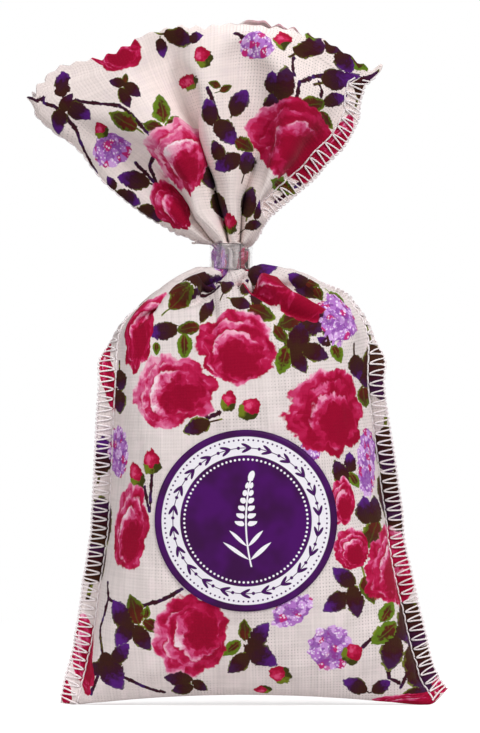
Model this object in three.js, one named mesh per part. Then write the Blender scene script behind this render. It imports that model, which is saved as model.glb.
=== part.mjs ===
// A lavender sachet: one strip of printed cotton folded at the base, overlocked up both sides, filled with
// dried flowers, taped shut at the neck and left open above the tape as a gathered frill with a pinked edge.
// Millimetres, +Z up. The front faces -Y. The origin is the middle of the base that the sachet stands on.
import * as THREE from "three";

// Pouch, below the tape
const BASE_WIDTH = 86; // flat width of the bag, across both seam edges
const WAIST_WIDTH = 69; // at half height, where the filling draws the sides in
const WAIST_HEIGHT = 46;
const SHOULDER_WIDTH = 63; // where the sides start to round over to the neck
const SHOULDER_HEIGHT = 74;
const POUCH_HEIGHT = 95.5; // base to the rim that is gathered into the neck
const BASE_DEPTH = 8; // front to back, where the folded base sits flat
const BASE_ROUND = 1.9; // how far up the round of the base reaches, from 1 for a wedge
const BASE_SWELL = 0.75; // how soon the base swells, from 0.5 for an ellipse to 1 for a parabola
const BELLY_DEPTH = 37.6; // front to back, where the filling is thickest
const BELLY_HEIGHT = 48;
const SHOULDER_DEPTH = 34.6;
const SHOULDER_PLEATS = 8; // gathers counted round the rim
const SHOULDER_PLEAT_DEPTH = 1.6; // crest to trough, where the shoulder is half way up

// Cloth and clearances
const CLOTH = 0.5; // thickness of one layer, with its nap
const GAP = 0.3; // clearance between touching pieces
const SEAM_ALLOWANCE = 4; // from the stitch line to the overlocked edge

// Neck and tape
const NECK_OFFSET = -3.4; // the neck leans to the left of the pouch's middle
const NECK_DRIFT_POWER = 4; // how late on its way up the shoulder drifts over to the neck
const NECK_RADIUS = 4.5; // of the cloth bundle under the tape
const NECK_CREASES = 12;
const NECK_CREASE_DEPTH = 0.25;
const NECK_ROOT_RADIUS = 3.8; // rounded root of the bundle, in the pouch's rim
const NECK_ROOT_LENGTH = 1.7; // rim to the tape's lower edge
const TAPE_WIDTH = 5.6;
const TAPE_THICKNESS = 0.3;
const TAPE_OVERLAP = 70; // degrees of the second turn
const TAPE_OVERLAP_START = -150; // degrees from +X

// Frill, above the tape
const FRILL_ROOT_RADIUS = 3.6;
const FRILL_ROOT_RISE = 2; // the bend of the cloth lies this far above the tape
const FRILL_LENGTH = 47; // root to the pinked edge, up the middle
const FRILL_SIDE_LENGTH = 52; // root to the pinked edge, along the side seams
const FRILL_LEAN = -6.8; // degrees, to the left
const FRILL_SPREAD = 48.5; // degrees from the middle to each side seam
const FRILL_BEND_RADIUS = 22; // how far out the cloth turns from the neck into the fan
const FRILL_BEND_LEAN = -13.8;
const FRILL_BEND_SPREAD = 67.8;
const FRILL_DEPTH = 17; // front to back between the crests of the folds, where they stand furthest apart
const FRILL_EDGE_DEPTH = 8; // the same at the pinked edge
const FRILL_FOLDS = 3.2; // across one panel
const FRILL_FOLD_SHARE = 0.85; // how far a fold dips, as a share of the depth
const FRILL_FOLDS_START = 0.06; // share of the way up at which the folds start to open
const FRILL_FOLDS_FULL = 0.32; // and at which they are fully open
const FRILL_EDGE_START = 0.65; // and at which they start to draw together to the edge
const FOLD_STEEPNESS = 1.8; // level thickness of a folded panel, in layers of cloth
const FRONT_FOLD_TURN = 122; // degrees of a fold at the middle of the front panel
const BACK_FOLD_TURN = 209;
const SEAM_EDGE_START = 0.05; // share of the way up at which the seam edges leave the neck
const SEAM_EDGE_FULL = 0.3; // and at which they have their whole width
const PINKING_TEETH = 20; // across one panel
const PINKING_DEPTH = 1.5;

// Label
const LABEL_DIAMETER = 40;
const LABEL_THICKNESS = 0.25;
const LABEL_HEIGHT = 41; // base to the label's middle

// Overlock thread
const THREAD_RADIUS = 0.22;
const STITCH_PITCH = 2.2;
const FRILL_STITCH_START = 0.32; // share of the way up the frill
const FRILL_STITCH_END = 0.96;
const NEEDLE_INSET = 0.55; // needle line, out from the stitch line
const LOOPER_INSET = 1.55; // inner turn of the looper threads
const LOOPER_OUTSET = 0.4; // outer turn, in from the overlocked edge
const LOOPER_SPREAD = 0.6; // half width of the thread where it turns back

// Filling
const FILL_HEADROOM = 5; // empty cloth left under the neck

// Mesh fineness
const PANEL_STEPS = 16; // across one panel of the pouch
const BODY_RINGS = 11; // base to shoulder
const BASE_CROWDING = 1.5; // how much closer the rings lie at the base, from 1 for even steps
const DOME_RINGS = 8; // shoulder to rim
const FRILL_RINGS = 7;
const ROOT_RINGS = 4;
const ROUND_SEGMENTS = 24;
const LABEL_RINGS = 4; // middle to rim
const POLE_ANGLE = 8; // degrees from the pole of a rounded root to its first ring
const POLE_STEP = 0.3; // the same on the frill, as a share of one ring's step
const OUTWARD_STEP = 0.04; // share of the fan between two points that give the way outwards

const HALF_TURN = Math.PI;
const SEAM_PINCH = 0.05; // how far the overlock presses each layer of a seam edge
const FIN_HALF = CLOTH - SEAM_PINCH; // half thickness of the two layers in a seam edge
const INNER_STOP = 3; // layers of cloth by which the frill's inner wall stops short of the stitch lines
const CAVITY_HALF = 0.05; // half width of the crack where an inner wall closes at a seam
const CAVITY_LIP = 0.15;
const LENS_POWER = 0.32; // fullness of a stuffed section, from 0.5 for an ellipse to 0 for a box

const TAPE_BOTTOM = POUCH_HEIGHT + NECK_ROOT_LENGTH;
const TAPE_TOP = TAPE_BOTTOM + TAPE_WIDTH;
const FRILL_ROOT_HEIGHT = TAPE_TOP + FRILL_ROOT_RISE;

const radians = (degrees) => THREE.MathUtils.degToRad(degrees);
const smooth = (value, low, high) => THREE.MathUtils.smoothstep(value, low, high);
const range = (count) => Array.from({ length: count }, (_, i) => i);

// Solids

// A closed body skinned over rings of equally many points. The first and last rings are capped, so rings that
// run up the outside of a wall and back down its inside make a shell with an open mouth.
function loft(rings) {
  const count = rings[0].length;
  const points = rings.flat();
  const faces = [];
  for (const r of range(rings.length - 1)) {
    for (const i of range(count)) {
      const a = r * count + i;
      const b = r * count + ((i + 1) % count);
      faces.push(a, b, b + count, a, b + count, a + count);
    }
  }
  for (const [first, outward] of [[0, -1], [(rings.length - 1) * count, 1]]) {
    const centre = new THREE.Vector3();
    range(count).forEach((i) => centre.addScaledVector(points[first + i], 1 / count));
    const middle = points.push(centre) - 1;
    for (const i of range(count)) {
      const a = first + i;
      const b = first + ((i + 1) % count);
      faces.push(...(outward > 0 ? [a, b, middle] : [b, a, middle]));
    }
  }
  const geometry = new THREE.BufferGeometry().setFromPoints(points);
  geometry.setIndex(signedVolume(points, faces) < 0 ? faces.reverse() : faces);
  geometry.computeVertexNormals();
  return geometry;
}

function signedVolume(points, faces) {
  let sum = 0;
  for (let i = 0; i < faces.length; i += 3) {
    const [a, b, c] = [points[faces[i]], points[faces[i + 1]], points[faces[i + 2]]];
    sum += a.dot(new THREE.Vector3().crossVectors(b, c)) / 6;
  }
  return sum;
}

function piece(name, geometry, color, roughness, extra = {}) {
  const material = new THREE.MeshStandardMaterial({ color, roughness, metalness: 0, ...extra });
  const mesh = new THREE.Mesh(geometry, material);
  mesh.name = name;
  return mesh;
}

const cottonPrint = (name, geometry) => piece(name, geometry, 0xe9e1e0, 0.9);
const cottonThread = (name, geometry) => piece(name, geometry, 0xf3e7ea, 0.7);

// Pouch shape

// A curve through the value at the base, half way and at the shoulder, as a parabola over the height.
function throughThree(height, atBase, atMiddle, middleHeight, atTop, topHeight) {
  const first = (atMiddle - atBase) / middleHeight;
  const second = ((atTop - atBase) / topHeight - first) / (topHeight - middleHeight);
  return atBase + first * height + second * height * (height - middleHeight);
}

function bodyDepth(height) {
  if (height < BELLY_HEIGHT) {
    const swell = (1 - (1 - height / BELLY_HEIGHT) ** BASE_ROUND) ** BASE_SWELL;
    return THREE.MathUtils.lerp(BASE_DEPTH, BELLY_DEPTH, swell);
  }
  const share = (height - BELLY_HEIGHT) / (SHOULDER_HEIGHT - BELLY_HEIGHT);
  return THREE.MathUtils.lerp(BELLY_DEPTH, SHOULDER_DEPTH, share * share);
}

// One level section of the pouch between base and shoulder.
function bodySection(height) {
  const width = throughThree(
    height, BASE_WIDTH, WAIST_WIDTH, WAIST_HEIGHT, SHOULDER_WIDTH, SHOULDER_HEIGHT,
  );
  return {
    height,
    middle: 0,
    halfWidth: width / 2 - SEAM_ALLOWANCE,
    halfDepth: bodyDepth(height) / 2 - FIN_HALF,
    fin: SEAM_ALLOWANCE,
    pleat: 0,
  };
}

// One section of the shoulder, which rounds over as a quarter ellipse from the body to the neck's rim.
function domeSection(angle) {
  const body = bodySection(SHOULDER_HEIGHT);
  const rim = NECK_ROOT_RADIUS + GAP + CLOTH;
  const fin = Math.max(CAVITY_LIP, SEAM_ALLOWANCE * Math.sqrt(Math.cos(angle)));
  const outer = THREE.MathUtils.lerp(rim + CAVITY_LIP, SHOULDER_WIDTH / 2, Math.cos(angle));
  return {
    height: SHOULDER_HEIGHT + (POUCH_HEIGHT - SHOULDER_HEIGHT) * Math.sin(angle),
    middle: NECK_OFFSET * Math.sin(angle) ** NECK_DRIFT_POWER,
    halfWidth: outer - fin,
    halfDepth: THREE.MathUtils.lerp(rim - FIN_HALF, body.halfDepth, Math.cos(angle)),
    fin,
    pleat: (SHOULDER_PLEAT_DEPTH / body.halfDepth) * Math.sin(2 * angle),
    slope: Math.sin(angle),
  };
}

function pouchSections() {
  const levels = range(BODY_RINGS).map((i) => SHOULDER_HEIGHT * (i / BODY_RINGS) ** BASE_CROWDING);
  const body = levels.map((height) => bodySection(height));
  const dome = range(DOME_RINGS + 1).map((i) => domeSection((HALF_TURN / 2) * (i / DOME_RINGS)));
  return [...body, ...dome];
}

// The same section drawn in by an inset, as the inner face of a wall or the outside of what the wall holds.
function insetSection(section, inset) {
  return {
    ...section,
    height: section.height - inset * (section.slope ?? 0),
    halfWidth: section.halfWidth - inset,
    halfDepth: section.halfDepth + FIN_HALF - inset - CAVITY_HALF,
    fin: CAVITY_LIP,
    finHalf: CAVITY_HALF,
  };
}

// Half depth of a stuffed section, at a share across it from -1 at the left seam to 1 at the right.
const stuffed = (section, across) => section.halfDepth * Math.max(0, 1 - across * across) ** LENS_POWER;

// A section as a ring of points: front panel, right seam edge, back panel, left seam edge.
function sectionRing(section) {
  const { height, middle, halfWidth, fin, pleat } = section;
  const finHalf = section.finHalf ?? FIN_HALF;
  const panel = range(PANEL_STEPS + 1).map((i) => -Math.cos((HALF_TURN * i) / PANEL_STEPS));
  const depthAt = (across) => {
    const gather = 1 + pleat * Math.cos(SHOULDER_PLEATS * Math.acos(across));
    return finHalf + stuffed(section, across) * gather;
  };
  const edge = halfWidth + fin;
  const front = panel.map((a) => new THREE.Vector3(middle + halfWidth * a, -depthAt(a), height));
  const back = panel.map((a) => new THREE.Vector3(middle - halfWidth * a, depthAt(-a), height));
  const right = [-finHalf, finHalf].map((y) => new THREE.Vector3(middle + edge, y, height));
  const left = [finHalf, -finHalf].map((y) => new THREE.Vector3(middle - edge, y, height));
  return [...front, ...right, ...back, ...left];
}

function pouchCloth() {
  const sections = pouchSections();
  const rim = sections.at(-1);
  const outside = sections.map(sectionRing);
  const inside = sections.slice(1, -1).map((s) => sectionRing(insetSection(s, CLOTH)));
  const floor = sectionRing({ ...insetSection(sections[0], CLOTH), height: CLOTH });
  const mouth = sectionRing({ ...insetSection(rim, CLOTH), height: rim.height });
  return cottonPrint("pouch_cloth", loft([...outside, mouth, ...inside.reverse(), floor]));
}

function lavenderFill() {
  const inset = CLOTH + GAP;
  const top = POUCH_HEIGHT - FILL_HEADROOM;
  const sections = pouchSections().map((s) => insetSection(s, inset));
  const kept = sections.slice(1).filter((s) => s.height < top);
  const floor = { ...sections[0], height: inset };
  return piece("lavender_fill", loft([floor, ...kept].map(sectionRing)), 0x6d5f86, 1);
}

// Label

function roundLabel() {
  const radius = LABEL_DIAMETER / 2;
  const circle = (share, lift) =>
    range(ROUND_SEGMENTS).map((i) => {
      const angle = (2 * HALF_TURN * i) / ROUND_SEGMENTS;
      const x = radius * share * Math.cos(angle);
      const z = LABEL_HEIGHT + radius * share * Math.sin(angle);
      const section = bodySection(z);
      const skin = FIN_HALF + stuffed(section, x / section.halfWidth);
      return new THREE.Vector3(x, -skin - lift, z);
    });
  const shares = range(LABEL_RINGS).map((i) => (i + 1) / LABEL_RINGS);
  const under = shares.map((share) => circle(share, GAP));
  const over = shares.map((share) => circle(share, GAP + LABEL_THICKNESS)).reverse();
  return piece("round_label", loft([...under, ...over]), 0x5a1668, 0.45);
}

// Neck

// The cloth bundle under the tape: a creased column with a rounded root in the pouch's rim and a cup on top
// that the root of the frill bends in.
function neckGather() {
  const arc = (centre, radius, from, to) =>
    range(ROOT_RINGS + 1).map((i) => {
      const angle = THREE.MathUtils.lerp(from, to, i / ROOT_RINGS);
      return [radius * Math.cos(angle), centre + radius * Math.sin(angle)];
    });
  const cup = FRILL_ROOT_RADIUS + GAP;
  const cupEdge = Math.asin(-FRILL_ROOT_RISE / cup);
  const nearPole = radians(POLE_ANGLE);
  const profile = [
    ...arc(POUCH_HEIGHT, NECK_ROOT_RADIUS, nearPole - HALF_TURN / 2, 0),
    [NECK_ROOT_RADIUS, TAPE_BOTTOM - GAP],
    [NECK_RADIUS, TAPE_BOTTOM],
    [NECK_RADIUS, TAPE_TOP],
    ...arc(FRILL_ROOT_HEIGHT, cup, cupEdge, nearPole - HALF_TURN / 2),
  ];
  const creased = (height) => height >= TAPE_BOTTOM && height <= TAPE_TOP;
  const rings = profile.map(([radius, height]) =>
    range(2 * NECK_CREASES).map((i) => {
      const crease = creased(height) && i % 2 && radius >= NECK_RADIUS ? NECK_CREASE_DEPTH : 0;
      const angle = (HALF_TURN * i) / NECK_CREASES;
      const reach = radius - crease;
      return new THREE.Vector3(reach * Math.cos(angle), reach * Math.sin(angle), height);
    }),
  );
  return cottonPrint("neck_gather", loft(rings));
}

// Clear tape, one turn and an overlap, with the step of its free end.
function neckTape() {
  const inner = NECK_RADIUS + GAP;
  const outer = inner + TAPE_THICKNESS;
  const lapped = outer + TAPE_THICKNESS;
  const start = radians(TAPE_OVERLAP_START);
  const end = start + radians(TAPE_OVERLAP);
  const shape = new THREE.Shape();
  shape.absarc(0, 0, lapped, start, end, false);
  shape.absarc(0, 0, outer, end, start + 2 * HALF_TURN, false);
  shape.closePath();
  shape.holes.push(new THREE.Path().absarc(0, 0, inner, 0, 2 * HALF_TURN, true));
  const options = { depth: TAPE_WIDTH, bevelEnabled: false, curveSegments: ROUND_SEGMENTS };
  const mesh = piece("neck_tape", new THREE.ExtrudeGeometry(shape, options), 0xf4f2f4, 0.15, {
    transparent: true,
    opacity: 0.4,
  });
  mesh.position.z = TAPE_BOTTOM;
  return mesh;
}

// Frill shape

// A point of the fan between the two panels, at a share across it and a share of the way up, from the neck's
// axis: each line of cloth leaves the root, turns at the bend and runs out to the pinked edge.
function fanPoint(across, up, trim = 0) {
  const polar = (radius, lean, spread) => {
    const angle = radians(lean + spread * across);
    return new THREE.Vector3(radius * Math.sin(angle), 0, FRILL_ROOT_HEIGHT + radius * Math.cos(angle));
  };
  const reach = THREE.MathUtils.lerp(FRILL_LENGTH, FRILL_SIDE_LENGTH, across * across) - trim;
  const root = new THREE.Vector3(FRILL_ROOT_RADIUS * across, 0, FRILL_ROOT_HEIGHT);
  const bend = polar(FRILL_BEND_RADIUS, FRILL_BEND_LEAN, FRILL_BEND_SPREAD);
  const edge = polar(reach, FRILL_LEAN, FRILL_SPREAD);
  return new THREE.QuadraticBezierCurve3(root, bend, edge).getPoint(up);
}

// The way outwards across a side seam of the frill, side -1 for the left and 1 for the right.
function fanOutward(side, up) {
  return fanPoint(side, up).sub(fanPoint(side * (1 - OUTWARD_STEP), up)).normalize();
}

// Width of a seam edge of the frill, which grows from nothing at the neck.
function frillFin(up) {
  return THREE.MathUtils.lerp(CAVITY_LIP, SEAM_ALLOWANCE, smooth(up, SEAM_EDGE_START, SEAM_EDGE_FULL));
}

// Distance of a panel's face from the middle of the fan, with its folds. The back panel folds out of step.
function frillHalfDepth(across, up, turn) {
  const room = Math.sqrt(Math.max(0, 1 - across * across));
  const open = smooth(up, FRILL_FOLDS_START, FRILL_FOLDS_FULL);
  const crest = THREE.MathUtils.lerp(FRILL_ROOT_RADIUS, FRILL_DEPTH / 2, open);
  const depth = THREE.MathUtils.lerp(crest, FRILL_EDGE_DEPTH / 2, smooth(up, FRILL_EDGE_START, 1));
  const dip = 0.5 + 0.5 * Math.cos(HALF_TURN * FRILL_FOLDS * across + turn);
  return room * depth * (1 - FRILL_FOLD_SHARE * dip * open);
}

function frillRing(up, inset) {
  const steps = 2 * PINKING_TEETH;
  const narrow = inset ? 1 - (INNER_STOP * CLOTH) / SHOULDER_WIDTH : 1;
  const trimAt = (i) => (up === 1 && i % 2 ? PINKING_DEPTH : 0);
  const least = inset ? CAVITY_HALF : FIN_HALF;
  const panel = (side, turn) =>
    range(steps + 1).map((i) => {
      const across = -side * (1 - (2 * i) / steps) * narrow;
      const point = fanPoint(across, up, trimAt(i));
      const depth = frillHalfDepth(across, up, turn);
      point.y = -side * Math.max(least, least + depth - inset);
      return point;
    });
  const tips = (side, order) =>
    order.map((y) => {
      const fin = inset ? CAVITY_LIP : frillFin(up);
      const point = fanPoint(side * narrow, up).addScaledVector(fanOutward(side, up), fin);
      point.y = y * least;
      return point;
    });
  const front = panel(1, radians(FRONT_FOLD_TURN));
  const back = panel(-1, radians(BACK_FOLD_TURN));
  return [...front, ...tips(1, [-1, 1]), ...back, ...tips(-1, [1, -1])];
}

// Rings of the rounded root, from near its lowest point up to its widest.
function frillRootRings(count) {
  const half = count / 2;
  return range(ROOT_RINGS).map((r) => {
    const angle = (HALF_TURN / 2) * ((r + POLE_STEP) / ROOT_RINGS);
    const radius = FRILL_ROOT_RADIUS * Math.sin(angle);
    const height = FRILL_ROOT_HEIGHT - FRILL_ROOT_RADIUS * Math.cos(angle);
    return range(count).map((i) => {
      const turn = HALF_TURN * (1 + (i + 1) / half);
      return new THREE.Vector3(radius * Math.cos(turn), radius * Math.sin(turn), height);
    });
  });
}

function frillCloth() {
  const levels = range(FRILL_RINGS).map((i) => (i + 1) / FRILL_RINGS);
  const outside = levels.map((up) => frillRing(up, 0));
  const inside = levels.slice(1).map((up) => frillRing(up, FOLD_STEEPNESS * CLOTH)).reverse();
  const root = frillRootRings(outside[0].length);
  return cottonPrint("frill_cloth", loft([...root, ...outside, ...inside]));
}

// Overlock seams

// A thread laid along a seam edge. Each ring stands across the seam, so the rings never cross.
function threadSolid(stations) {
  const rings = stations.map(({ point, outward, spread }) => {
    const across = outward.clone().multiplyScalar(spread);
    const lift = new THREE.Vector3(0, THREAD_RADIUS, 0);
    return [across, lift, across.clone().negate(), lift.clone().negate()].map((v) => v.clone().add(point));
  });
  return loft(rings);
}

// The three threads of one overlocked seam. seamAt(share) gives a point of the stitch line, the way outwards
// and the seam edge's width there, and length is the seam's length.
function overlockThreads(prefix, seamAt, length) {
  const lay = FIN_HALF + GAP + THREAD_RADIUS;
  const stitches = Math.floor(length / STITCH_PITCH);
  const station = (share, out, side, spread) => {
    const { point, outward } = seamAt(share);
    const placed = point.clone().addScaledVector(outward, out);
    placed.y += side * lay;
    return { point: placed, outward, spread };
  };
  const looper = (side) =>
    range(2 * stitches + 1).map((i) => {
      const share = i / (2 * stitches);
      const out = i % 2 ? seamAt(share).width - LOOPER_OUTSET : LOOPER_INSET;
      return station(share, out, side, LOOPER_SPREAD);
    });
  const needle = range(Math.ceil(stitches / 2) + 1).map((i) => {
    return station(i / Math.ceil(stitches / 2), NEEDLE_INSET, -1, THREAD_RADIUS);
  });
  return [
    cottonThread(`${prefix}_needle_thread`, threadSolid(needle)),
    cottonThread(`${prefix}_upper_looper_thread`, threadSolid(looper(-1))),
    cottonThread(`${prefix}_lower_looper_thread`, threadSolid(looper(1))),
  ];
}

function pouchSeam(side) {
  const low = STITCH_PITCH / 2;
  const high = SHOULDER_HEIGHT + (POUCH_HEIGHT - SHOULDER_HEIGHT) / 2;
  const seamAt = (share) => {
    const height = THREE.MathUtils.lerp(low, high, share);
    const rise = (height - SHOULDER_HEIGHT) / (POUCH_HEIGHT - SHOULDER_HEIGHT);
    const section = rise > 0 ? domeSection(Math.asin(rise)) : bodySection(height);
    const point = new THREE.Vector3(section.middle + side * section.halfWidth, 0, height);
    return { point, outward: new THREE.Vector3(side, 0, 0), width: section.fin };
  };
  return overlockThreads(side < 0 ? "left" : "right", seamAt, high - low);
}

function frillSeam(side) {
  const [low, high] = [FRILL_STITCH_START, FRILL_STITCH_END];
  const seamAt = (share) => {
    const up = THREE.MathUtils.lerp(low, high, share);
    return { point: fanPoint(side, up), outward: fanOutward(side, up), width: frillFin(up) };
  };
  const length = fanPoint(side, low).distanceTo(fanPoint(side, high));
  return overlockThreads(side < 0 ? "frill_left" : "frill_right", seamAt, length);
}

// Assembly

const pouch = new THREE.Group();
pouch.add(pouchCloth(), lavenderFill(), roundLabel(), ...pouchSeam(-1), ...pouchSeam(1));

const neck = new THREE.Group();
neck.position.x = NECK_OFFSET;
neck.add(neckGather(), neckTape());

const frill = new THREE.Group();
frill.position.x = NECK_OFFSET;
frill.add(frillCloth(), ...frillSeam(-1), ...frillSeam(1));

const sachet = new THREE.Group();
sachet.add(pouch, neck, frill);
export default sachet;
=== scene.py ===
"""A lavender sachet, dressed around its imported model.

One strip of printed cotton is folded at the base, overlocked up both sides, filled with dried flowers, taped
shut at the neck and left open above the tape as a frill. The strip is relaxed as cloth. Lengths are in
millimetres until a mesh is made in metres, and the front faces -Y.
"""
import logging
import math
from dataclasses import dataclass
from enum import Enum
from typing import Iterator
from typing import Sequence
from typing import Union

import bmesh
import bpy
import numpy as np
from mathutils import Euler
from mathutils import Matrix
from mathutils import Vector


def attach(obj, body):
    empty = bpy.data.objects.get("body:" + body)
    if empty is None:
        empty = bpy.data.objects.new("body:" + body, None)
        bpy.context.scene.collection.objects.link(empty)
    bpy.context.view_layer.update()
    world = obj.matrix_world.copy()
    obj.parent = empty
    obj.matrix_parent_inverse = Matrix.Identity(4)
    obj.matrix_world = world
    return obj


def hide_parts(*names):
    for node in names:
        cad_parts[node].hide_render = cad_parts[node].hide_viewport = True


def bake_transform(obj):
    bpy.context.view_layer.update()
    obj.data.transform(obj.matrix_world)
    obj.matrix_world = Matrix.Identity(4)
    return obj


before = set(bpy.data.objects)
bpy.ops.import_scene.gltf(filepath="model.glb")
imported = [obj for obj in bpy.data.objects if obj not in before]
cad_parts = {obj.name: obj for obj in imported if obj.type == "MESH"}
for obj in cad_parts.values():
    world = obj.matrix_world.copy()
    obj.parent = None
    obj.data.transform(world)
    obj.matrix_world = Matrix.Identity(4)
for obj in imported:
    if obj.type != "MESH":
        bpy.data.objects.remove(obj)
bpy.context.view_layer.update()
LOG = logging.getLogger("sachet")
MM = 0.001
Array = np.ndarray
Builder = bmesh.types.BMesh
Material = bpy.types.Material
Mesh = bpy.types.Mesh
Nodes = bpy.types.NodeTree
Piece = bpy.types.Object
Number = Union[float, "Ink"]
Colour = Union[str, "Ink"]
Table = tuple[tuple[float, ...], ...]


def ease(x: Array, low: float, high: float) -> Array:
    """Smooth step from 0 at low to 1 at high."""
    t = np.clip((x - low) / (high - low), 0.0, 1.0)
    return t * t * (3.0 - 2.0 * t)


def unit(vectors: Array) -> Array:
    """Vectors of length 1."""
    return vectors / np.maximum(np.linalg.norm(vectors, axis=-1, keepdims=True), 1e-9)


def linear(code: str) -> tuple[float, float, float, float]:
    """Linear colour of a six digit screen colour.

    Args:
        code: the colour, such as "E9E3DF".

    Returns:
        Red, green, blue and an alpha of 1.
    """
    parts = [int(code[i:i + 2], 16) / 255.0 for i in (0, 2, 4)]
    red, green, blue = (c / 12.92 if c <= 0.04045 else ((c + 0.055) / 1.055) ** 2.4 for c in parts)
    return red, green, blue, 1.0


def batches(count: int, size: int = 8000) -> Iterator[slice]:
    """Slices that go through a long list in parts."""
    return (slice(start, start + size) for start in range(0, count, size))


class Side(Enum):
    """A side seam of the bag, as a sign along X."""

    LEFT = -1
    RIGHT = 1


class Thread(Enum):
    """A thread of the three-thread overlock seam."""

    NEEDLE = "needle"
    UPPER = "upper_looper"
    LOWER = "lower_looper"


class Zone(Enum):
    """The part of the bag that a seam is on."""

    POUCH = "pouch"
    FRILL = "frill"


class Kind(Enum):
    """A family of printed motifs, each drawn in its own layer."""

    ROSE = "print_rose"
    LEAF = "print_leaf"
    BUD = "print_bud"
    LILAC = "print_lilac"


@dataclass(frozen=True)
class Cut:
    """The flat strip of cotton, and where the tape closes it."""

    width: float = 86.0
    seam: float = 4.0
    pouch: float = 113.5
    band: float = 5.6
    frill: float = 52.0
    tilt: float = 4.0

    @property
    def stitch_line(self) -> float:
        """Distance of the needle line from the middle of the strip."""
        return self.width / 2 - self.seam

    @property
    def tape_top(self) -> float:
        """Cloth length from the base fold to the tape's upper edge."""
        return self.pouch + self.band

    @property
    def length(self) -> float:
        """Cloth length from the base fold to the pinked edge."""
        return self.pouch + self.band + self.frill


@dataclass
class ClothGrid:
    """The strip as rows along its length and columns across it, with the front panel above the base fold."""

    points: Array
    across: Array
    along: Array

    @property
    def base(self) -> int:
        """Row of the base fold."""
        return (len(self.points) - 1) // 2

    def refined(self) -> "ClothGrid":
        """The same cloth with twice as many cells each way."""
        return ClothGrid(
            self.doubled(self.points), self.doubled(self.across), self.doubled(self.along))

    @staticmethod
    def doubled(values: Array) -> Array:
        """Put a cubic through four neighbours between each two values, in rows and in columns.

        Args:
            values: a grid of numbers or points.

        Returns:
            The grid with its odd rows and columns filled in.
        """
        for axis in (0, 1):
            rows = np.swapaxes(values, 0, axis)
            pad = np.concatenate([2 * rows[:1] - rows[1:2], rows, 2 * rows[-1:] - rows[-2:-1]])
            fine = np.empty((2 * len(rows) - 1,) + rows.shape[1:])
            fine[::2] = rows
            fine[1::2] = (9 * (pad[1:-2] + pad[2:-1]) - (pad[:-3] + pad[3:])) / 16
            values = np.swapaxes(fine, 0, axis)
        return np.ascontiguousarray(values)

    def join(self, columns: Union[int, slice]) -> None:
        """Bring the same columns of both panels together."""
        front, back = self.points[self.base:, columns], self.points[self.base::-1, columns]
        front[...] = back[...] = 0.5 * (front + back)

    def normals(self) -> Array:
        """Outward unit normals of both panels."""
        along_rows = np.gradient(self.points, axis=0)
        along_columns = np.gradient(self.points, axis=1)
        return unit(np.cross(along_columns, along_rows))

    def sample(self, values: Array, u: Array, v: Array) -> Array:
        """Read a grid of values at places on the cloth.

        Args:
            values: one value or vector for each point of the grid.
            u: places across the strip.
            v: places along the strip.

        Returns:
            The values there, from the four corners of each cell.
        """
        rows, columns = self.across.shape
        i = np.clip((v - self.along[0, 0]) / (self.along[1, 0] - self.along[0, 0]), 0, rows - 1.001)
        j = np.clip((u - self.across[0, 0]) / (self.across[0, 1] - self.across[0, 0]), 0, columns - 1.001)
        i0, j0 = i.astype(int), j.astype(int)
        fi, fj = (i - i0)[..., None], (j - j0)[..., None]
        low = values[i0, j0] * (1 - fj) + values[i0, j0 + 1] * fj
        high = values[i0 + 1, j0] * (1 - fj) + values[i0 + 1, j0 + 1] * fj
        return low * (1 - fi) + high * fi


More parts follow.
